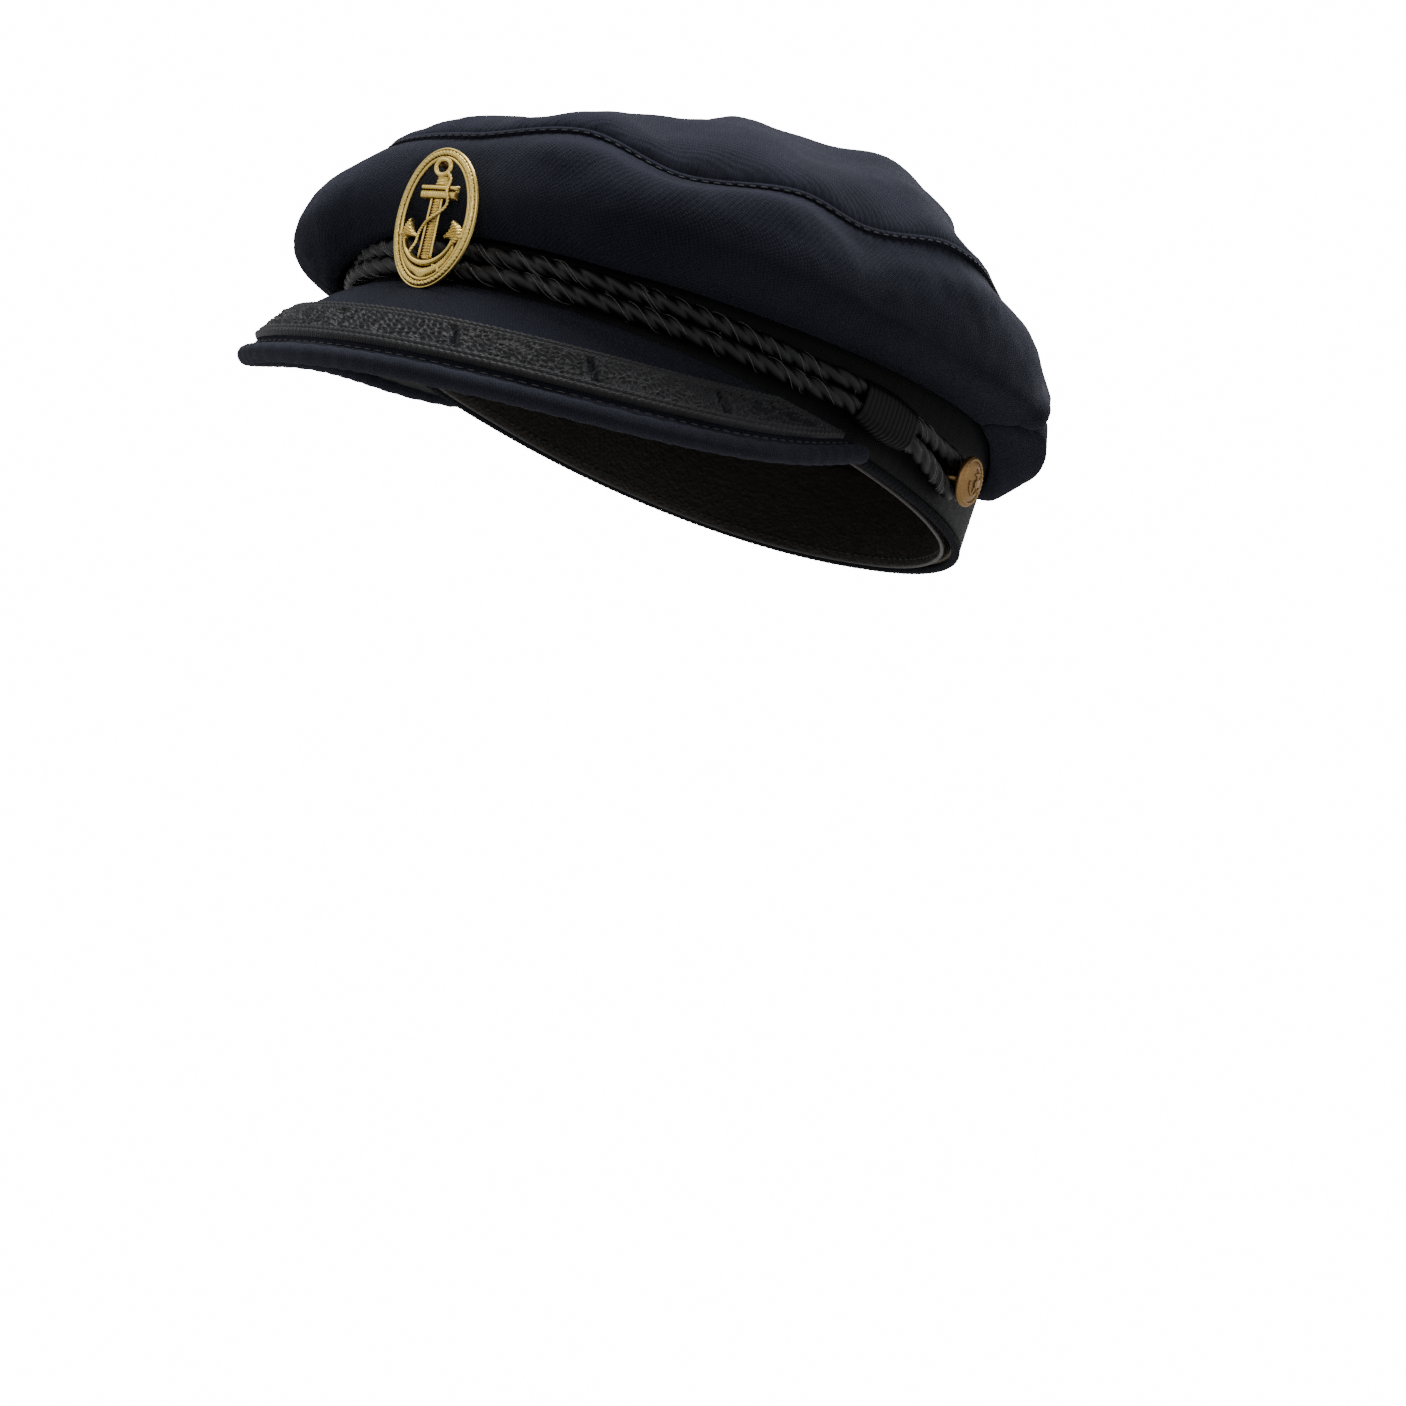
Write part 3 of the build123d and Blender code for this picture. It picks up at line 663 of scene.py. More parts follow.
piece = domed_cloth("crown_top_cloth", top_grid, CLOTH, 1.4, 0.02)
finish_piece(piece, "cap", "crown_top")
for name, wall, node, flat, area in (
    ("crown_front_cloth", front_wall, "crown_front_panel", (0.46, 0.072), 0.0285),
    ("crown_rear_cloth_left", rear_left, "crown_rear_panel_left", (0.125, 0.066), 0.0072),
    ("crown_rear_cloth_right", rear_right, "crown_rear_panel_right", (0.125, 0.066), 0.0072),
):
    piece = finish_piece(face_out(cloth(name, wall, CLOTH, 1.4)), "cap", node)

# foam stay behind the front of the wall
wall_deg = np.degrees(np.arctan2(front_wall[:, 50, 0], -front_wall[:, 50, 1]))
first, last = sorted(np.argmin(np.abs(wall_deg - side)) for side in (-32, 32))
wall_out = normals(front_wall)
wall_out = wall_out if wall_out[260, 40, 1] < 0 else -wall_out
stay = (front_wall - 1.9 * wall_out)[first:last, 30:50]
piece = finish_piece(face_out(cloth("front_stay_foam", stay, FOAM, 1.3)), "cap", "front_stay")

# stitches along the lapped rim
rim_r, rim_z = seam_at(rim_angles)
stitch_path = at(rim_angles, rim_r + 1.3, rim_z - 1.2)
stitch_out = at(rim_angles, 1 + 0 * rim_angles, -0.35 + 0 * rim_angles)
bag = stitch_line(stitch_path, stitch_out, 3.2, 2.0, 0.42, 0.4)
finish_piece(bag.done("crown_top_stitches", SEWING), "cap", None)

# ---------------------------------------------------------------- linings, band


def lining_profile(a):
    start, seam_r = band(a) - 4.9, seam_oval(a) - 3.6
    inside = widest(a) - 4.6
    wave = float(seam_wave((a + PI) % (2 * PI) - PI))
    seam_z = 59 - math.tan(SEAM_TILT) * seam_r * math.cos(a) + wave
    points = [(start, 33.5), (start + 0.8, 39.5), (start + 0.62 * (inside - start), 42.5 + 0.25 * (seam_z - 42.5))]
    points += [(min(inside, seam_r + 1.5), 42.5 + 0.62 * (seam_z - 42.5)), (seam_r, seam_z)]
    return even(points, 20)


def lining_wall(name, start, end, node):
    a = np.linspace(start, end, 160)
    p = np.array([lining_profile(k) for k in a])
    grid = at(a[:, None], p[..., 0], p[..., 1])
    grid = grid * (1 - 0.010 * (0.5 + rough(grid, 18, 4.4))[..., None] * np.array([1, 1, 0]))
    piece = finish_piece(face_out(cloth(name, grid, LINING, 0.4), -1), "cap", node)


lining_wall("lining_front_satin", math.radians(-118), math.radians(118), "lining_front")
lining_wall("lining_rear_satin", math.radians(118.3), math.radians(241.7), "lining_rear")


def lining_dome():
    """Lining of the top, hanging inside the cloth and following its hollows."""
    grid = top_grid[:-4:2, ::2].copy()
    share = np.clip(np.hypot(grid[..., 0] / 95, (grid[..., 1] + 8) / 105), 0, 1)
    grid[..., 0] *= 0.945
    grid[..., 1] = (grid[..., 1] + 8) * 0.945 - 8
    grid[..., 2] -= 2.6 + 4.5 * (1 - share**2) + 1.2 * rough(grid, 24, 9.9)
    return domed_cloth("lining_top_satin", grid, LINING, 0.4, up=-1)


piece = finish_piece(lining_dome(), "cap", "lining_top")


def ring_section(points, count, name, mat, wobble, seed):
    """Closed section of (inset from the band, height) points carried round the band's oval."""
    a = np.linspace(-PI, PI, count + 1)[:-1][:, None]
    sec = np.asarray(points, float)
    r = band(a) - sec[None, :, 0]
    grid = at(a, r, sec[None, :, 1] + 0 * a)
    grid = grid + at(a, 1 + 0 * r, 0 * r) * (wobble * rough(grid, 30, seed))[..., None]
    uv = np.stack(np.meshgrid(a[:, 0] * 95, run(sec), indexing="ij"), -1)
    ob = make(name, grid.reshape(-1, 3), grid_faces(count, len(sec), True, True), mat, uv.reshape(-1, 2))
    return facing(ob, lambda p: p.center @ p.normal)


def rounded_strip(depth, thick, low, high, steps=14):
    """Section of an upright strip with rounded ends, as (inset, height) points."""
    r = thick / 2
    a = np.radians([0, 30, 60, 90, 120, 150, 180])
    out = [(depth, z) for z in np.linspace(low + r, high - r, steps)]
    cap = [(depth + r - r * math.cos(k), high - r + r * math.sin(k)) for k in a[1:]]
    back = [(depth + thick, z) for z in np.linspace(high - r, low + r, steps)][1:]
    foot = [(depth + r + r * math.cos(k), low + r - r * math.sin(k)) for k in a[1:-1]]
    return out + cap + back + foot


piece = ring_section(rounded_strip(0, 1.6, 2.6, 36), 480, "band_mohair_ring", MOHAIR, 0.5, 4.0)
finish_piece(piece, "cap", "band_cover")
piece = ring_section(rounded_strip(4.9, 1.3, 0.4, 32), 360, "sweatband_leather_ring", LEATHER, 0.35, 1.0)
finish_piece(piece, "cap", "sweatband")
a = np.linspace(-PI, PI, 721)
inner = at(a, band(a) - 6.35, 3.2 + 0 * a)
bag = stitch_line(inner, -at(a, 1 + 0 * a, 0 * a), 3.0, 2.1, 0.5, 0.5)
finish_piece(bag.done("sweatband_stitches", SEWING), "cap", None)


def welt_radius(along, round_, total):
    turns = round(total / 2.2) / total
    return 1.3 + 0.10 * np.sin(2 * PI * turns * along + round_) + 0 * round_


a = np.linspace(-PI, PI, 901)[:-1]
bag = tube(at(a, band(a) - 1.1, 1.35 + 0 * a), welt_radius, 12, True)
finish_piece(bag.done("band_welt_cord", WELT), "cap", "band_welt")

# ---------------------------------------------------------------- visor

VISOR_END = 82.6  # angle where the peak runs out
RIM_STITCH = 3.4  # from the peak's outer edge to its stitched groove


def visor_size(deg):
    """How far the peak reaches out from the band, and how far it drops."""
    share = np.clip(np.abs(deg) / VISOR_END, 0, 1)
    drop = 31.6 * (1 - share**2.38) ** 1.2 + 1.2 - 9.5 * hump(np.asarray(deg), -52, 22)
    return 26.2 * (1 - share**1.8) ** 1.2 + 2.2, drop


def visor_point(deg, share, lift=0.0):
    """Point of the peak at a share of its width, lift mm above the board."""
    reach, drop = visor_size(deg)
    size = np.hypot(reach, drop)
    up = 3.0 * reach / 27.2 * 4 * share * (1 - share) + lift
    a = np.radians(deg)
    return at(a, band(a) + 0.4 + reach * share + up * drop / size, 3.4 - drop * share + up * reach / size)


def visor_grid(start, end, lift, columns=441, rows=40, stop=80.5):
    deg = np.linspace(-stop, stop, columns)[:, None]
    share = start(deg) + (end(deg) - start(deg)) * np.linspace(0, 1, rows)[None]
    return visor_point(deg, share, lift), deg, share


def width_at(deg):
    return np.hypot(*visor_size(deg))


def mm_share(mm):
    """Share of the peak's width at a distance in mm from its outer edge."""
    return lambda deg: np.clip(1 - mm / width_at(deg), 0.02, 1)


grid, deg, share = visor_grid(lambda d: 0 * d, mm_share(1.2), 0.9)
lift = 0.35 * rough(grid, 20, 7.0)
groove = -0.75 * hump(width_at(deg) * (1 - share), RIM_STITCH, 0.7)
grid = visor_point(deg, share, 0.9 + lift + groove)
piece = face_up(cloth("visor_top_cloth", grid, PEAK_CLOTH, 0.8))
finish_piece(piece, "cap", "visor_cover_top")
grid, deg, share = visor_grid(lambda d: 0.1 + 0 * d, mm_share(1.2), -2.4)
piece = face_up(cloth("visor_underlay", grid, UNDERLAY, 0.8), -1)
finish_piece(piece, "cap", "visor_cover_under")

grid, deg, share = visor_grid(lambda d: 0.05 + 0 * d, mm_share(2.2), -0.1, 221, 16)
piece = face_up(cloth("visor_board_card", grid, CARD, 1.9))
finish_piece(piece, "cap", "visor_board")

# stitch row in the groove beside the rim
deg1 = np.linspace(-79, 79, 900)
row, above = (visor_point(deg1, 1 - RIM_STITCH / width_at(deg1), lift) for lift in (0.45, 1.45))
bag = stitch_line(row, above - row, 3.4, 2.3, 0.5, 0.4)
finish_piece(bag.done("visor_rim_stitches", SEWING), "cap", None)

# rolled rim
deg1 = np.linspace(-82.0, 82.0, 560)
tucked = np.radians([-84.5, 84.5])
ends = at(tucked, band(tucked) - 1.0, 2.4)
rim = np.vstack([ends[:1], visor_point(deg1, 1.0, -0.6), ends[1:]])


def rim_radius(along, round_, total):
    ends = np.clip(np.minimum(along, total - along) / 5.0, 0.05, 1) ** 0.5
    return ends * (2.75 + 0.10 * np.sin(along * 0.9 + 2 * np.sin(along * 0.13)) + 0 * round_)


bag = tube(rim, rim_radius, 20)
finish_piece(bag.done("visor_rim_cloth", RIM_CLOTH), "cap", "visor_rolled_edge")


def labyrinth(x, y, wavelength, seed):
    """Rounded worm-like ridges from evenly spaced waves in many directions."""
    rng = np.random.RandomState(seed)
    f = 0 * x
    for k in range(26):
        a, phase = rng.uniform(0, PI), rng.uniform(0, 2 * PI)
        f = f + np.cos(2 * PI / wavelength * rng.uniform(0.9, 1.1) * (x * math.cos(a) + y * math.sin(a)) + phase)
    return f / math.sqrt(13)


BRAID_OUT, BRAID_IN = 4.5, 19.4  # its edges, from the peak's outer edge
BRAID_END = 76


def braid_piece():
    """Embroidered braid: looping raised yarn, corded borders, and a slanted slit between repeats."""
    deg = np.linspace(-BRAID_END, BRAID_END, 1120)[:, None]
    w = width_at(deg)
    inner_mm = np.minimum(BRAID_IN, w - 1.2)
    mm = BRAID_OUT + (inner_mm - BRAID_OUT) * np.linspace(0, 1, 72)[None]
    along = run(visor_point(deg[:, 0], 0.6))[:, None] + 0 * mm
    ridge = labyrinth(along, mm, 2.7, 5)
    height = 0.95 + 0.75 * (1 - np.clip(np.abs(ridge) / 0.75, 0, 1) ** 1.6)
    height = height + 0.10 * np.abs(np.sin(ridge * 6 + along * 2.5))
    # slanted slits that part the repeats
    lean = (mm - BRAID_OUT) * 0.55
    gap = np.abs((along + lean + 6) % 36.0 - 18.0)
    inside = hump((mm - BRAID_OUT) / (inner_mm - BRAID_OUT), 0.5, 0.42) > 0.42
    height = height + np.where(inside, 0.6 * hump(gap, 2.2, 0.9) - 1.5 * hump(gap, 0, 1.0), 0)
    # corded borders
    for border in (0.9, 2.5):
        twist = 0.18 * np.sin(along * 2 * PI / 1.9 + border * 3)
        for edge_mm in (mm - BRAID_OUT, inner_mm - mm):
            off = np.abs(edge_mm - border)
            cord = 0.85 + np.sqrt(np.clip(0.64 - off**2, 0, 1)) * (1.1 + twist)
            height = np.where(off < 0.8, cord, height)
    edges = np.minimum(mm - BRAID_OUT, inner_mm - mm)
    height = np.where(edges < 0.12, 0.2, height)
    height = height * np.clip((BRAID_END - np.abs(deg)) / 0.6, 0.3, 1)
    grid = visor_point(deg, 1 - mm / w, 0.9 + height)
    uv = np.stack([along, mm], -1)
    return face_up(cloth("visor_braid_embroidery", grid, BRAID, 0, uv=uv))


finish_piece(braid_piece(), "cap", "visor_braid")

# ---------------------------------------------------------------- chin cord, slides, buttons


def outward(a):
    """Level direction square to the band."""
    x, y, _ = at(a, band(a), 0)
    n = [math.copysign(abs(v / size) ** 1.2 / size, v) for v, size in ((x, BAND_SIDE), (y, BAND_FRONT))]
    return np.array([*n, 0]) / np.linalg.norm(n)


def beside(deg, offset, z):
    """Point at a height, offset mm outside the band."""
    a = math.radians(deg)
    return at(a, band(a), z) + outward(a) * offset


def cord_height(deg):
    return 9.6 + 4.4 * (min(deg, 72) / 72) ** 1.5


UP = np.array([0, 0, 1])
SLIDE_DEG, BUTTON_DEG = 82.5, 115
CORD_OFFSET, CORD_GAP, LOOP_RADIUS, ROPE_LAY = 3.4, 2.7, 4.15, 19.5
SLIDE_N = outward(math.radians(SLIDE_DEG))
SLIDE_MID = beside(SLIDE_DEG, 4.7, 14.0)
SLIDE_T = np.array([-SLIDE_N[1], SLIDE_N[0], 0])
BUTTON_N = outward(math.radians(BUTTON_DEG))
BUTTON_MID = beside(BUTTON_DEG, 0, 13.0)
BUTTON_T = np.array([-BUTTON_N[1], BUTTON_N[0], 0])
LOOP_MID = BUTTON_MID + BUTTON_N * 3.2


def strand(side):
    """Upper (1) or lower (-1) run of the cord, from the front into its loop round the button."""
    gap = UP * side * CORD_GAP
    points = [beside(d, CORD_OFFSET, cord_height(d)) + gap for d in range(0, 65, 8)]
    points += [SLIDE_MID + SLIDE_T * k + gap for k in (-18, -9, 0, 9, 18)]
    points.append(beside(110, CORD_OFFSET, 13 + side * LOOP_RADIUS))
    for a in np.radians([90, 60, 30]):
        points.append(LOOP_MID + LOOP_RADIUS * (BUTTON_T * math.cos(a) + UP * side * math.sin(a)))
    return np.array(points)


half = np.vstack([strand(1), LOOP_MID + BUTTON_T * LOOP_RADIUS, strand(-1)[::-1]])
loop = np.vstack([half, (half[::-1] * [-1, 1, 1])[1:-1]])
loop = np.vstack([loop[-3:], loop, loop[:3]])
smooth_loop = even(loop, 4000)
start = np.argmin(np.linalg.norm(smooth_loop[:500] - loop[3], axis=1))
end = len(smooth_loop) - 1 - np.argmin(np.linalg.norm(smooth_loop[::-1][:500] - loop[-3], axis=1))
route = even(smooth_loop[start:end], 2600)[:-1]
bag = tube(route, rope_radius(2.66, 3, ROPE_LAY, 0.24), 36, True)
finish_piece(bag.done("chin_cord_rope", CORD), "cap", "chin_cord")
# loose filaments that lie along the strands of the rope, coloured light grey as painted highlights on the strands'
# edges
_, side_n, side_b = carried(route, True, UP)
length = run(route)
whole = length[-1] + np.linalg.norm(route[0] - route[-1])
turns = round(whole / ROPE_LAY) / whole
bag = Bag()
rng = np.random.RandomState(8)
for _ in range(170):
    first = rng.randint(0, len(route) - 60)
    span = slice(first, first + rng.randint(26, 58))
    angle = 2 * PI * (turns * length[span] + rng.randint(3) / 3) + rng.uniform(-0.5, 0.5)
    r = 2.62 + 0.16 * rng.uniform(0.2, 1) * np.sin(np.linspace(0, PI, len(angle)))
    out = side_n[span] * (r * np.cos(angle))[:, None] + side_b[span] * (r * np.sin(angle))[:, None]
    tube((route[span] + out)[::2], 0.095, 5, False, (0, 0, 1), bag)
finish_piece(bag.done("chin_cord_painted_highlights", PAINTED_GLINT), "cap", None)


def slot_ring(x, half_height, half_thick, count=64):
    """Rounded slot outline at a place along a slide: x along, y out, z up."""
    a = np.linspace(0, 2 * PI, count, endpoint=False)
    straight = half_height - half_thick
    y = half_thick * np.cos(a)
    side = np.sign(np.round(np.sin(a), 9)) * np.clip(np.abs(np.sin(a)) * 3, 0, 1)
    z = half_thick * np.sin(a) + straight * side
    return np.stack([np.full(count, x), y, z], -1)


def slide_piece(side, mirrored):
    """Yarn wrapped round both runs of the cord, with a slot through its middle for them."""
    rings = []
    for x in np.linspace(-12, 12, 157):
        share = x / 12
        puff = 0.55 * abs(math.sin(13 * PI * (x + 12) / 24)) ** 0.5 - 0.35
        rings.append(slot_ring(x, 6.85 * (1 - 0.16 * share**2) + puff, 4.15 * (1 - 0.08 * share**2) + puff))
    rings += [slot_ring(x, 5.55, 2.85) for x in (11.8, 11.0, -11.0, -11.8)]
    grid = np.array(rings)
    mirror = np.array([-1 if mirrored else 1, 1, 1])
    local = (grid @ np.stack([SLIDE_T, SLIDE_N, UP]) + SLIDE_MID) * mirror
    uv = np.stack([grid[..., 2] * 2, grid[..., 0]], -1)
    faces = grid_faces(len(rings), 64, True, True)
    ob = make(f"cord_slide_wrap_{side}", local.reshape(-1, 3), faces, SLIDE_YARN, uv.reshape(-1, 2))
    middle = Vector(SLIDE_MID * mirror)
    facing(ob, lambda p: (p.center * 1000 - middle) @ p.normal)
    finish_piece(ob, f"slide_{side}", f"cord_slide_{side}")


slide_piece("left", False)
slide_piece("right", True)


def arc(cx, cy, rx, ry, start, end, count):
    a = np.radians(np.linspace(start, end, count))
    return np.stack([cx + rx * np.cos(a), cy + ry * np.sin(a)], -1)


def onto_button(mirrored):
    frame_ = np.stack([BUTTON_N, BUTTON_T, UP])

    def place(v):
        v = v @ frame_ + BUTTON_MID
        return v * [-1, 1, 1] if mirrored else v

    return place


def dome_x(radius):
    """Height of the button's face over a radius."""
    return 9.95 - 1.15 * (radius / 5.4) ** 2


def on_dome(flat, lift=0.0):
    """(across, up) points laid on the button's face."""
    flat = np.asarray(flat, float)
    return np.c_[dome_x(np.hypot(flat[:, 0], flat[:, 1])) + lift, flat]


def button_face():
    profile = [(6.6, 5.6), (6.5, 6.6), (6.9, 7.3), (7.5, 7.5), (8.1, 7.45), (8.5, 7.1), (8.55, 6.7), (8.35, 6.3)]
    profile += [(8.55, 5.9), (8.85, 5.35), (9.15, 4.6), (9.45, 3.6), (9.7, 2.6), (9.87, 1.5), (9.95, 0.5)]
    bag = lathe([*profile, (9.95, 0.001)])
    ring = np.c_[np.full(180, 8.35), arc(0, 0, 6.55, 6.55, 0, 358, 180)]
    tube(ring, rope_radius(0.62, 2, 2.6, 0.35), 12, True, (1, 0, 0), bag)
    # ruled ground
    for y in np.arange(-4.4, 4.5, 0.8):
        reach = math.sqrt(max(5.3**2 - y * y, 0.1))
        tube(on_dome(np.c_[np.linspace(-reach, reach, 25), np.full(25, y)], -0.02), 0.11, 6, False, (1, 0, 0), bag)
    # anchor
    lines = [
        (np.array([(0, 2.9), (0, 0), (0, -3.6)]), 0.42),
        (np.array([(-1.7, 2.0), (0, 2.05), (1.7, 2.0)]), 0.36),
        (arc(0, 3.5, 0.62, 0.62, 0, 360, 18), 0.2),
        (arc(0, -0.6, 3.0, 3.0, 200, 340, 24), 0.42),
    ]
    for flat, radius in lines:
        path = even(flat, 26) if len(flat) < 10 else flat
        tube(on_dome(path, 0.08), radius, 8, False, (1, 0, 0), bag)
    for s in (-1, 1):
        flat = np.array([(s * 3.35, -0.7), (s * 2.9, -1.3), (s * 2.2, -2.1)])
        tube(on_dome(even(flat, 10), 0.12), 0.5, 8, False, (1, 0, 0), bag)
    rope = [(0.5, 3.3), (1.4, 2.9), (0.9, 1.2), (-0.8, 0.4), (-0.9, -1.0), (0.8, -1.7), (1.1, -3.0), (0.2, -3.9)]
    tube(on_dome(even(np.array(rope), 50), 0.42), 0.2, 6, False, (1, 0, 0), bag)
    return bag


def button_pieces(side, mirrored):
    ring = np.c_[np.full(60, -3.8), arc(2.6, 0, 2.6, 2.6, 0, 354, 60)]
    back = [(6.1, 0.001), (6.1, 2.2), (6.45, 2.8), (6.45, 6.3), (6.9, 6.9), (7.1, 6.9), (7.1, 0.001)]
    post = [(-4.75, 0.001), (-4.75, 1.0), (-4.5, 1.3), (6.05, 1.3), (6.05, 0.001)]
    eyelet = [(-3.1, 1.38), (0.6, 1.38), (0.62, 3.0), (0.45, 3.4), (0.25, 3.4)]
    eyelet += [(0.2, 2.0), (-3.1, 2.0), (-3.1, 1.38)]
    for name, bag, node, slot in (
        ("face", button_face(), "shell", "brass"),
        ("backplate", lathe(back), "back", "brass_plain"),
        ("post", lathe(post, 24), "shank", "brass_plain"),
        ("ring", tube(ring, 0.32, 8, True, (1, 0, 0)), "split_ring", "brass_plain"),
        ("eyelet_ring", lathe(eyelet, 32), "eyelet", "brass_plain"),
    ):
        ob = bag.done(f"button_{name}_{side}", BRASS_WORN, onto_button(mirrored))
        if mirrored:
            ob.data.flip_normals()
        finish_piece(ob, "cap" if node == "eyelet" else f"button_{side}", f"button_{node}_{side}")


button_pieces("left", False)
button_pieces("right", True)

# ---------------------------------------------------------------- badge

LEAN = math.radians(90 + 11.8)


def on_badge(v):
    """From the badge's own plane (x across, y up, z out) to the front of the crown, slightly bowed."""
    x, y, z = v.T
    x = x * 1.118 + 0.045 * y
    z = z - 0.0036 * x * x
    c, s = math.cos(LEAN), math.sin(LEAN)
    return np.c_[x + 4.2, y * c - z * s - 118.3, y * s + z * c + 18.2]


def flat_tube(path, radius, z, bag, closed=False, sides=10):
    p = np.asarray(path, float)
    return tube(np.c_[p, np.full(len(p), z)], radius, sides, closed, (0, 0, 1), bag)


def pillow(left, right, height, bag, pitch=0.0, depth=0.16, count=60):
    """Raised band between two edges, rounded across and hatched along its length."""
    left, right = even(np.array(left, float), count), even(np.array(right, float), count)
    across = np.linspace(0, 1, 13)[None, :, None]
    flat = left[:, None] * (1 - across) + right[:, None] * across
    along = run((left + right) / 2)[:, None]
    crest = (1 - np.abs(2 * across[..., 0] - 1) ** 3.2) ** 0.5
    cut = depth * (0.5 - 0.5 * np.cos(2 * PI * along / pitch)) if pitch else 0 * along
    ends = np.clip(np.minimum(along, along[-1] - along) / 0.25, 0, 1) ** 0.5
    z = 0.2 + (height * crest - cut * (crest > 0.5)) * ends
    grid = np.concatenate([flat, np.broadcast_to(z[..., None], flat.shape[:2] + (1,))], -1)
    bag.add(grid, grid_faces(count, 13, flip=True))


def badge_piece():
    bag = Bag()
    full = np.radians(np.linspace(0, 360, 241))[:-1]
    for rx, ry, radius, z in ((13.3, 18.9, 0.32, 0.85), (11.0, 16.6, 0.5, 0.75)):
        flat_tube(np.c_[rx * np.cos(full), ry * np.sin(full)], radius, z, bag, True)
    oval_rope = np.c_[12.25 * np.cos(full), 17.85 * np.sin(full)]
    flat_tube(oval_rope, rope_radius(0.85, 2, 2.2, 0.5), 0.95, bag, True, 14)
    # backing ring under the rope
    sizes = ((13.5, 19.1, 0), (13.5, 19.1, 0.7), (10.8, 16.4, 0.7), (10.8, 16.4, 0))
    rings = [np.c_[rx * np.cos(full), ry * np.sin(full), np.full(240, z)] for rx, ry, z in sizes]
    bag.add(np.array(rings), grid_faces(4, 240, True, True))
    # ring, shackle, stock and shank
    flat_tube(arc(0, 13.9, 2.5, 2.1, 0, 354, 60), 0.68, 1.1, bag, True, 12)
    pillow([(-1.5, 12.0), (-2.3, 8.6)], [(1.5, 12.0), (2.3, 8.6)], 1.1, bag, 0.9, 0.3, 30)
    pillow([(-6.1, 9.0), (6.1, 9.0)], [(-6.1, 7.6), (6.1, 7.6)], 1.5, bag)
    pillow([(-6.1, 7.7), (6.1, 7.7)], [(-6.1, 5.2), (6.1, 5.2)], 1.45, bag, 0.85, 0.4, 240)
    pillow([(-1.35, 5.3), (-1.6, -11.2)], [(1.35, 5.3), (1.6, -11.2)], 1.25, bag, 0.75, 0.34, 320)
    for s in (-1, 1):
        flat_tube(even(np.array([(s * 1.75, 5.2), (s * 2.05, -11.0)]), 12), 0.36, 1.0, bag)
    # crescent arms, hatched along their foot
    upper, lower = arc(0, -4.6, 8.0, 6.7, 190, 350, 60), arc(0, -3.6, 9.1, 9.6, 195, 345, 60)
    foot = arc(0, -3.6, 10.0, 12.3, 202, 338, 60)
    foot[:, 1] -= 1.0 * hump(foot[:, 0], 0, 1.6)
    pillow(upper[::-1], lower[::-1], 1.6, bag, 0, 0, 160)
    pillow(lower[::-1], foot[::-1], 1.35, bag, 0.8, 0.36, 320)
    # flukes
    for s in (-1, 1):
        point, barb, heel = (s * 7.3, -0.3), (s * 4.6, -5.2), (s * 8.6, -7.0)
        back_edge = even(np.array([point, (s * 9.6, -2.2), (s * 10.3, -5.0), heel]), 40)
        front_edge = even(np.array([point, (s * 6.4, -3.2), barb, (s * 6.9, -5.2), heel]), 40)
        edges = (back_edge, front_edge) if s < 0 else (front_edge, back_edge)
        pillow(edges[1], edges[0], 1.75, bag, 0.8, 0.34, 160)
    # fouled rope, crossing over the shank
    rope = [(2.3, 12.4), (3.6, 10.8), (3.7, 8.2), (4.3, 5.4), (3.6, 3.0), (1.2, 0.6), (-1.7, -1.6), (-3.4, -4.2)]
    rope = even(np.array([*rope, (-3.6, -7.2), (-4.6, -9.8)]), 170)
    x, y = rope.T
    path = np.c_[rope, 1.2 + 0.8 * hump(x, 0.2, 2.4) + 0.9 * hump(y, 7, 2.2) + 0.9 * hump(y, -9.5, 2.6)]
    tube(path, rope_radius(0.44, 2, 1.8, 0.42), 12, False, (0, 0, 1), bag)
    end = even(np.array([(3.4, -12.6), (5.2, -13.2), (5.6, -14.4)], float), 24)
    flat_tube(end, rope_radius(0.5, 2, 2.0, 0.4), 1.0, bag, sides=10)
    # bridges that hold the anchor in its frame
    flat_tube([(0, 15.8), (0, 17.0)], 0.6, 0.7, bag)
    for s in (-1, 1):
        flat_tube([(s * 9.2, -4.6), (s * 11.4, -4.4)], 0.7, 0.8, bag)
    return bag.done("badge_anchor_oval", BRASS, on_badge)


finish_piece(badge_piece(), "cap", "badge")

# hidden CAD pieces keep their own shape
for node, mat in {"band_stiffener": CARD, "badge_posts": BRASS_WORN, "badge_nuts": BRASS_WORN}.items():
    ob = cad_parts[node]
    ob.data.materials.clear()
    ob.data.materials.append(mat)

# ---------------------------------------------------------------- camera, light, floor

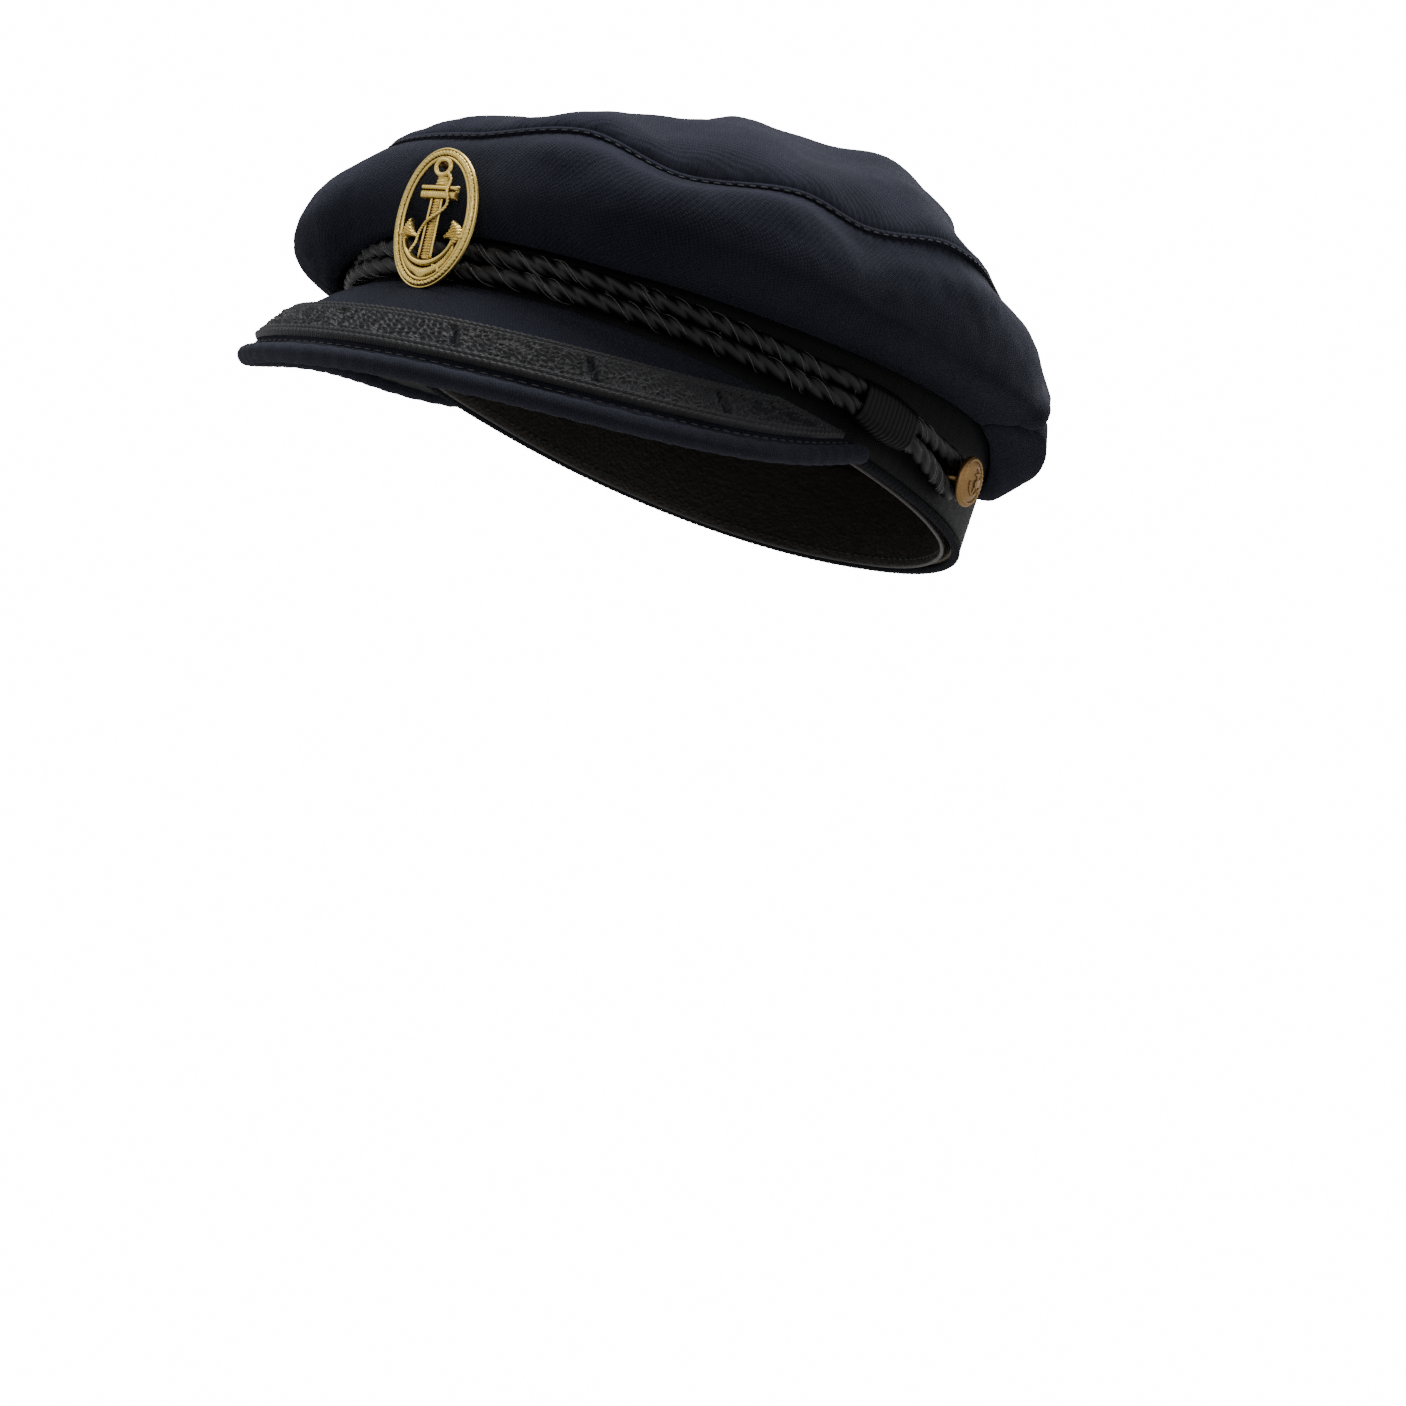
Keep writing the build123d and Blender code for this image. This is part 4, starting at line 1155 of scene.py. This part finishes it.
az, el, roll = (math.radians(k) for k in (40.9, -8.0, 18.7))
back = Vector((math.sin(az) * math.cos(el), -math.cos(az) * math.cos(el), math.sin(el)))
right = Vector((math.cos(az), math.sin(az), 0))
above = back.cross(right)
across = right * math.cos(roll) + above * math.sin(roll)
upward = above * math.cos(roll) - right * math.sin(roll)
cam = bpy.data.objects.new("camera", bpy.data.cameras.new("camera"))
bpy.context.scene.collection.objects.link(cam)
cam.data.sensor_width, cam.data.lens = 36.0, 71.77
spot = back * 0.842 + across * 0.011414 + upward * -0.077073
cam.matrix_world = Matrix((
    (across.x, upward.x, back.x, spot.x),
    (across.y, upward.y, back.y, spot.y),
    (across.z, upward.z, back.z, spot.z),
    (0, 0, 0, 1),
))
cam.data.clip_start, cam.data.clip_end = 0.01, 50
bpy.context.scene.camera = cam


def lamp(name, place, size, power):
    data = bpy.data.lights.new(name, "AREA")
    data.size, data.energy = size, power
    ob = bpy.data.objects.new(name, data)
    bpy.context.scene.collection.objects.link(ob)
    ob.location = place
    ob.rotation_mode = "QUATERNION"
    ob.rotation_quaternion = (Vector((0, 0, 0.04)) - Vector(place)).to_track_quat("-Z", "Y")


lamp("key", (0.1, -0.2, 1.3), 0.8, 22.5)
lamp("left_front", (-0.75, -1.0, 0.45), 0.5, 1.8)
lamp("right_side", (1.2, 0.35, 0.5), 0.5, 0.7)
lamp("front_low", (0.55, -1.2, 0.1), 0.4, 1.5)
lamp("rear", (-0.2, 1.1, 0.8), 0.8, 6)

world = bpy.data.worlds.new("world")
bpy.context.scene.world = world
world.use_nodes = True
tree = world.node_tree
sky = tree.nodes["Background"]
sky.inputs["Color"].default_value = (1, 1, 1, 1)
seen = tree.nodes.new("ShaderNodeLightPath").outputs
gloss = tree.nodes.new("ShaderNodeMapRange")
gloss.inputs["To Min"].default_value = 0.09
gloss.inputs["To Max"].default_value = 0.7
level = tree.nodes.new("ShaderNodeMapRange")
level.inputs["To Max"].default_value = 16.0
tree.links.new(seen["Is Glossy Ray"], gloss.inputs["Value"])
tree.links.new(gloss.outputs["Result"], level.inputs["To Min"])
tree.links.new(seen["Is Camera Ray"], level.inputs["Value"])
tree.links.new(level.outputs["Result"], sky.inputs["Strength"])
ring = np.radians(np.arange(0, 360, 4))
disc = np.stack([1150 * np.cos(ring), 1150 * np.sin(ring), -740 + 0 * ring], -1)
floor = make("floor", disc, [list(range(len(disc)))], Look("floor", (0.85, 0.85, 0.85), 0.9).mat)
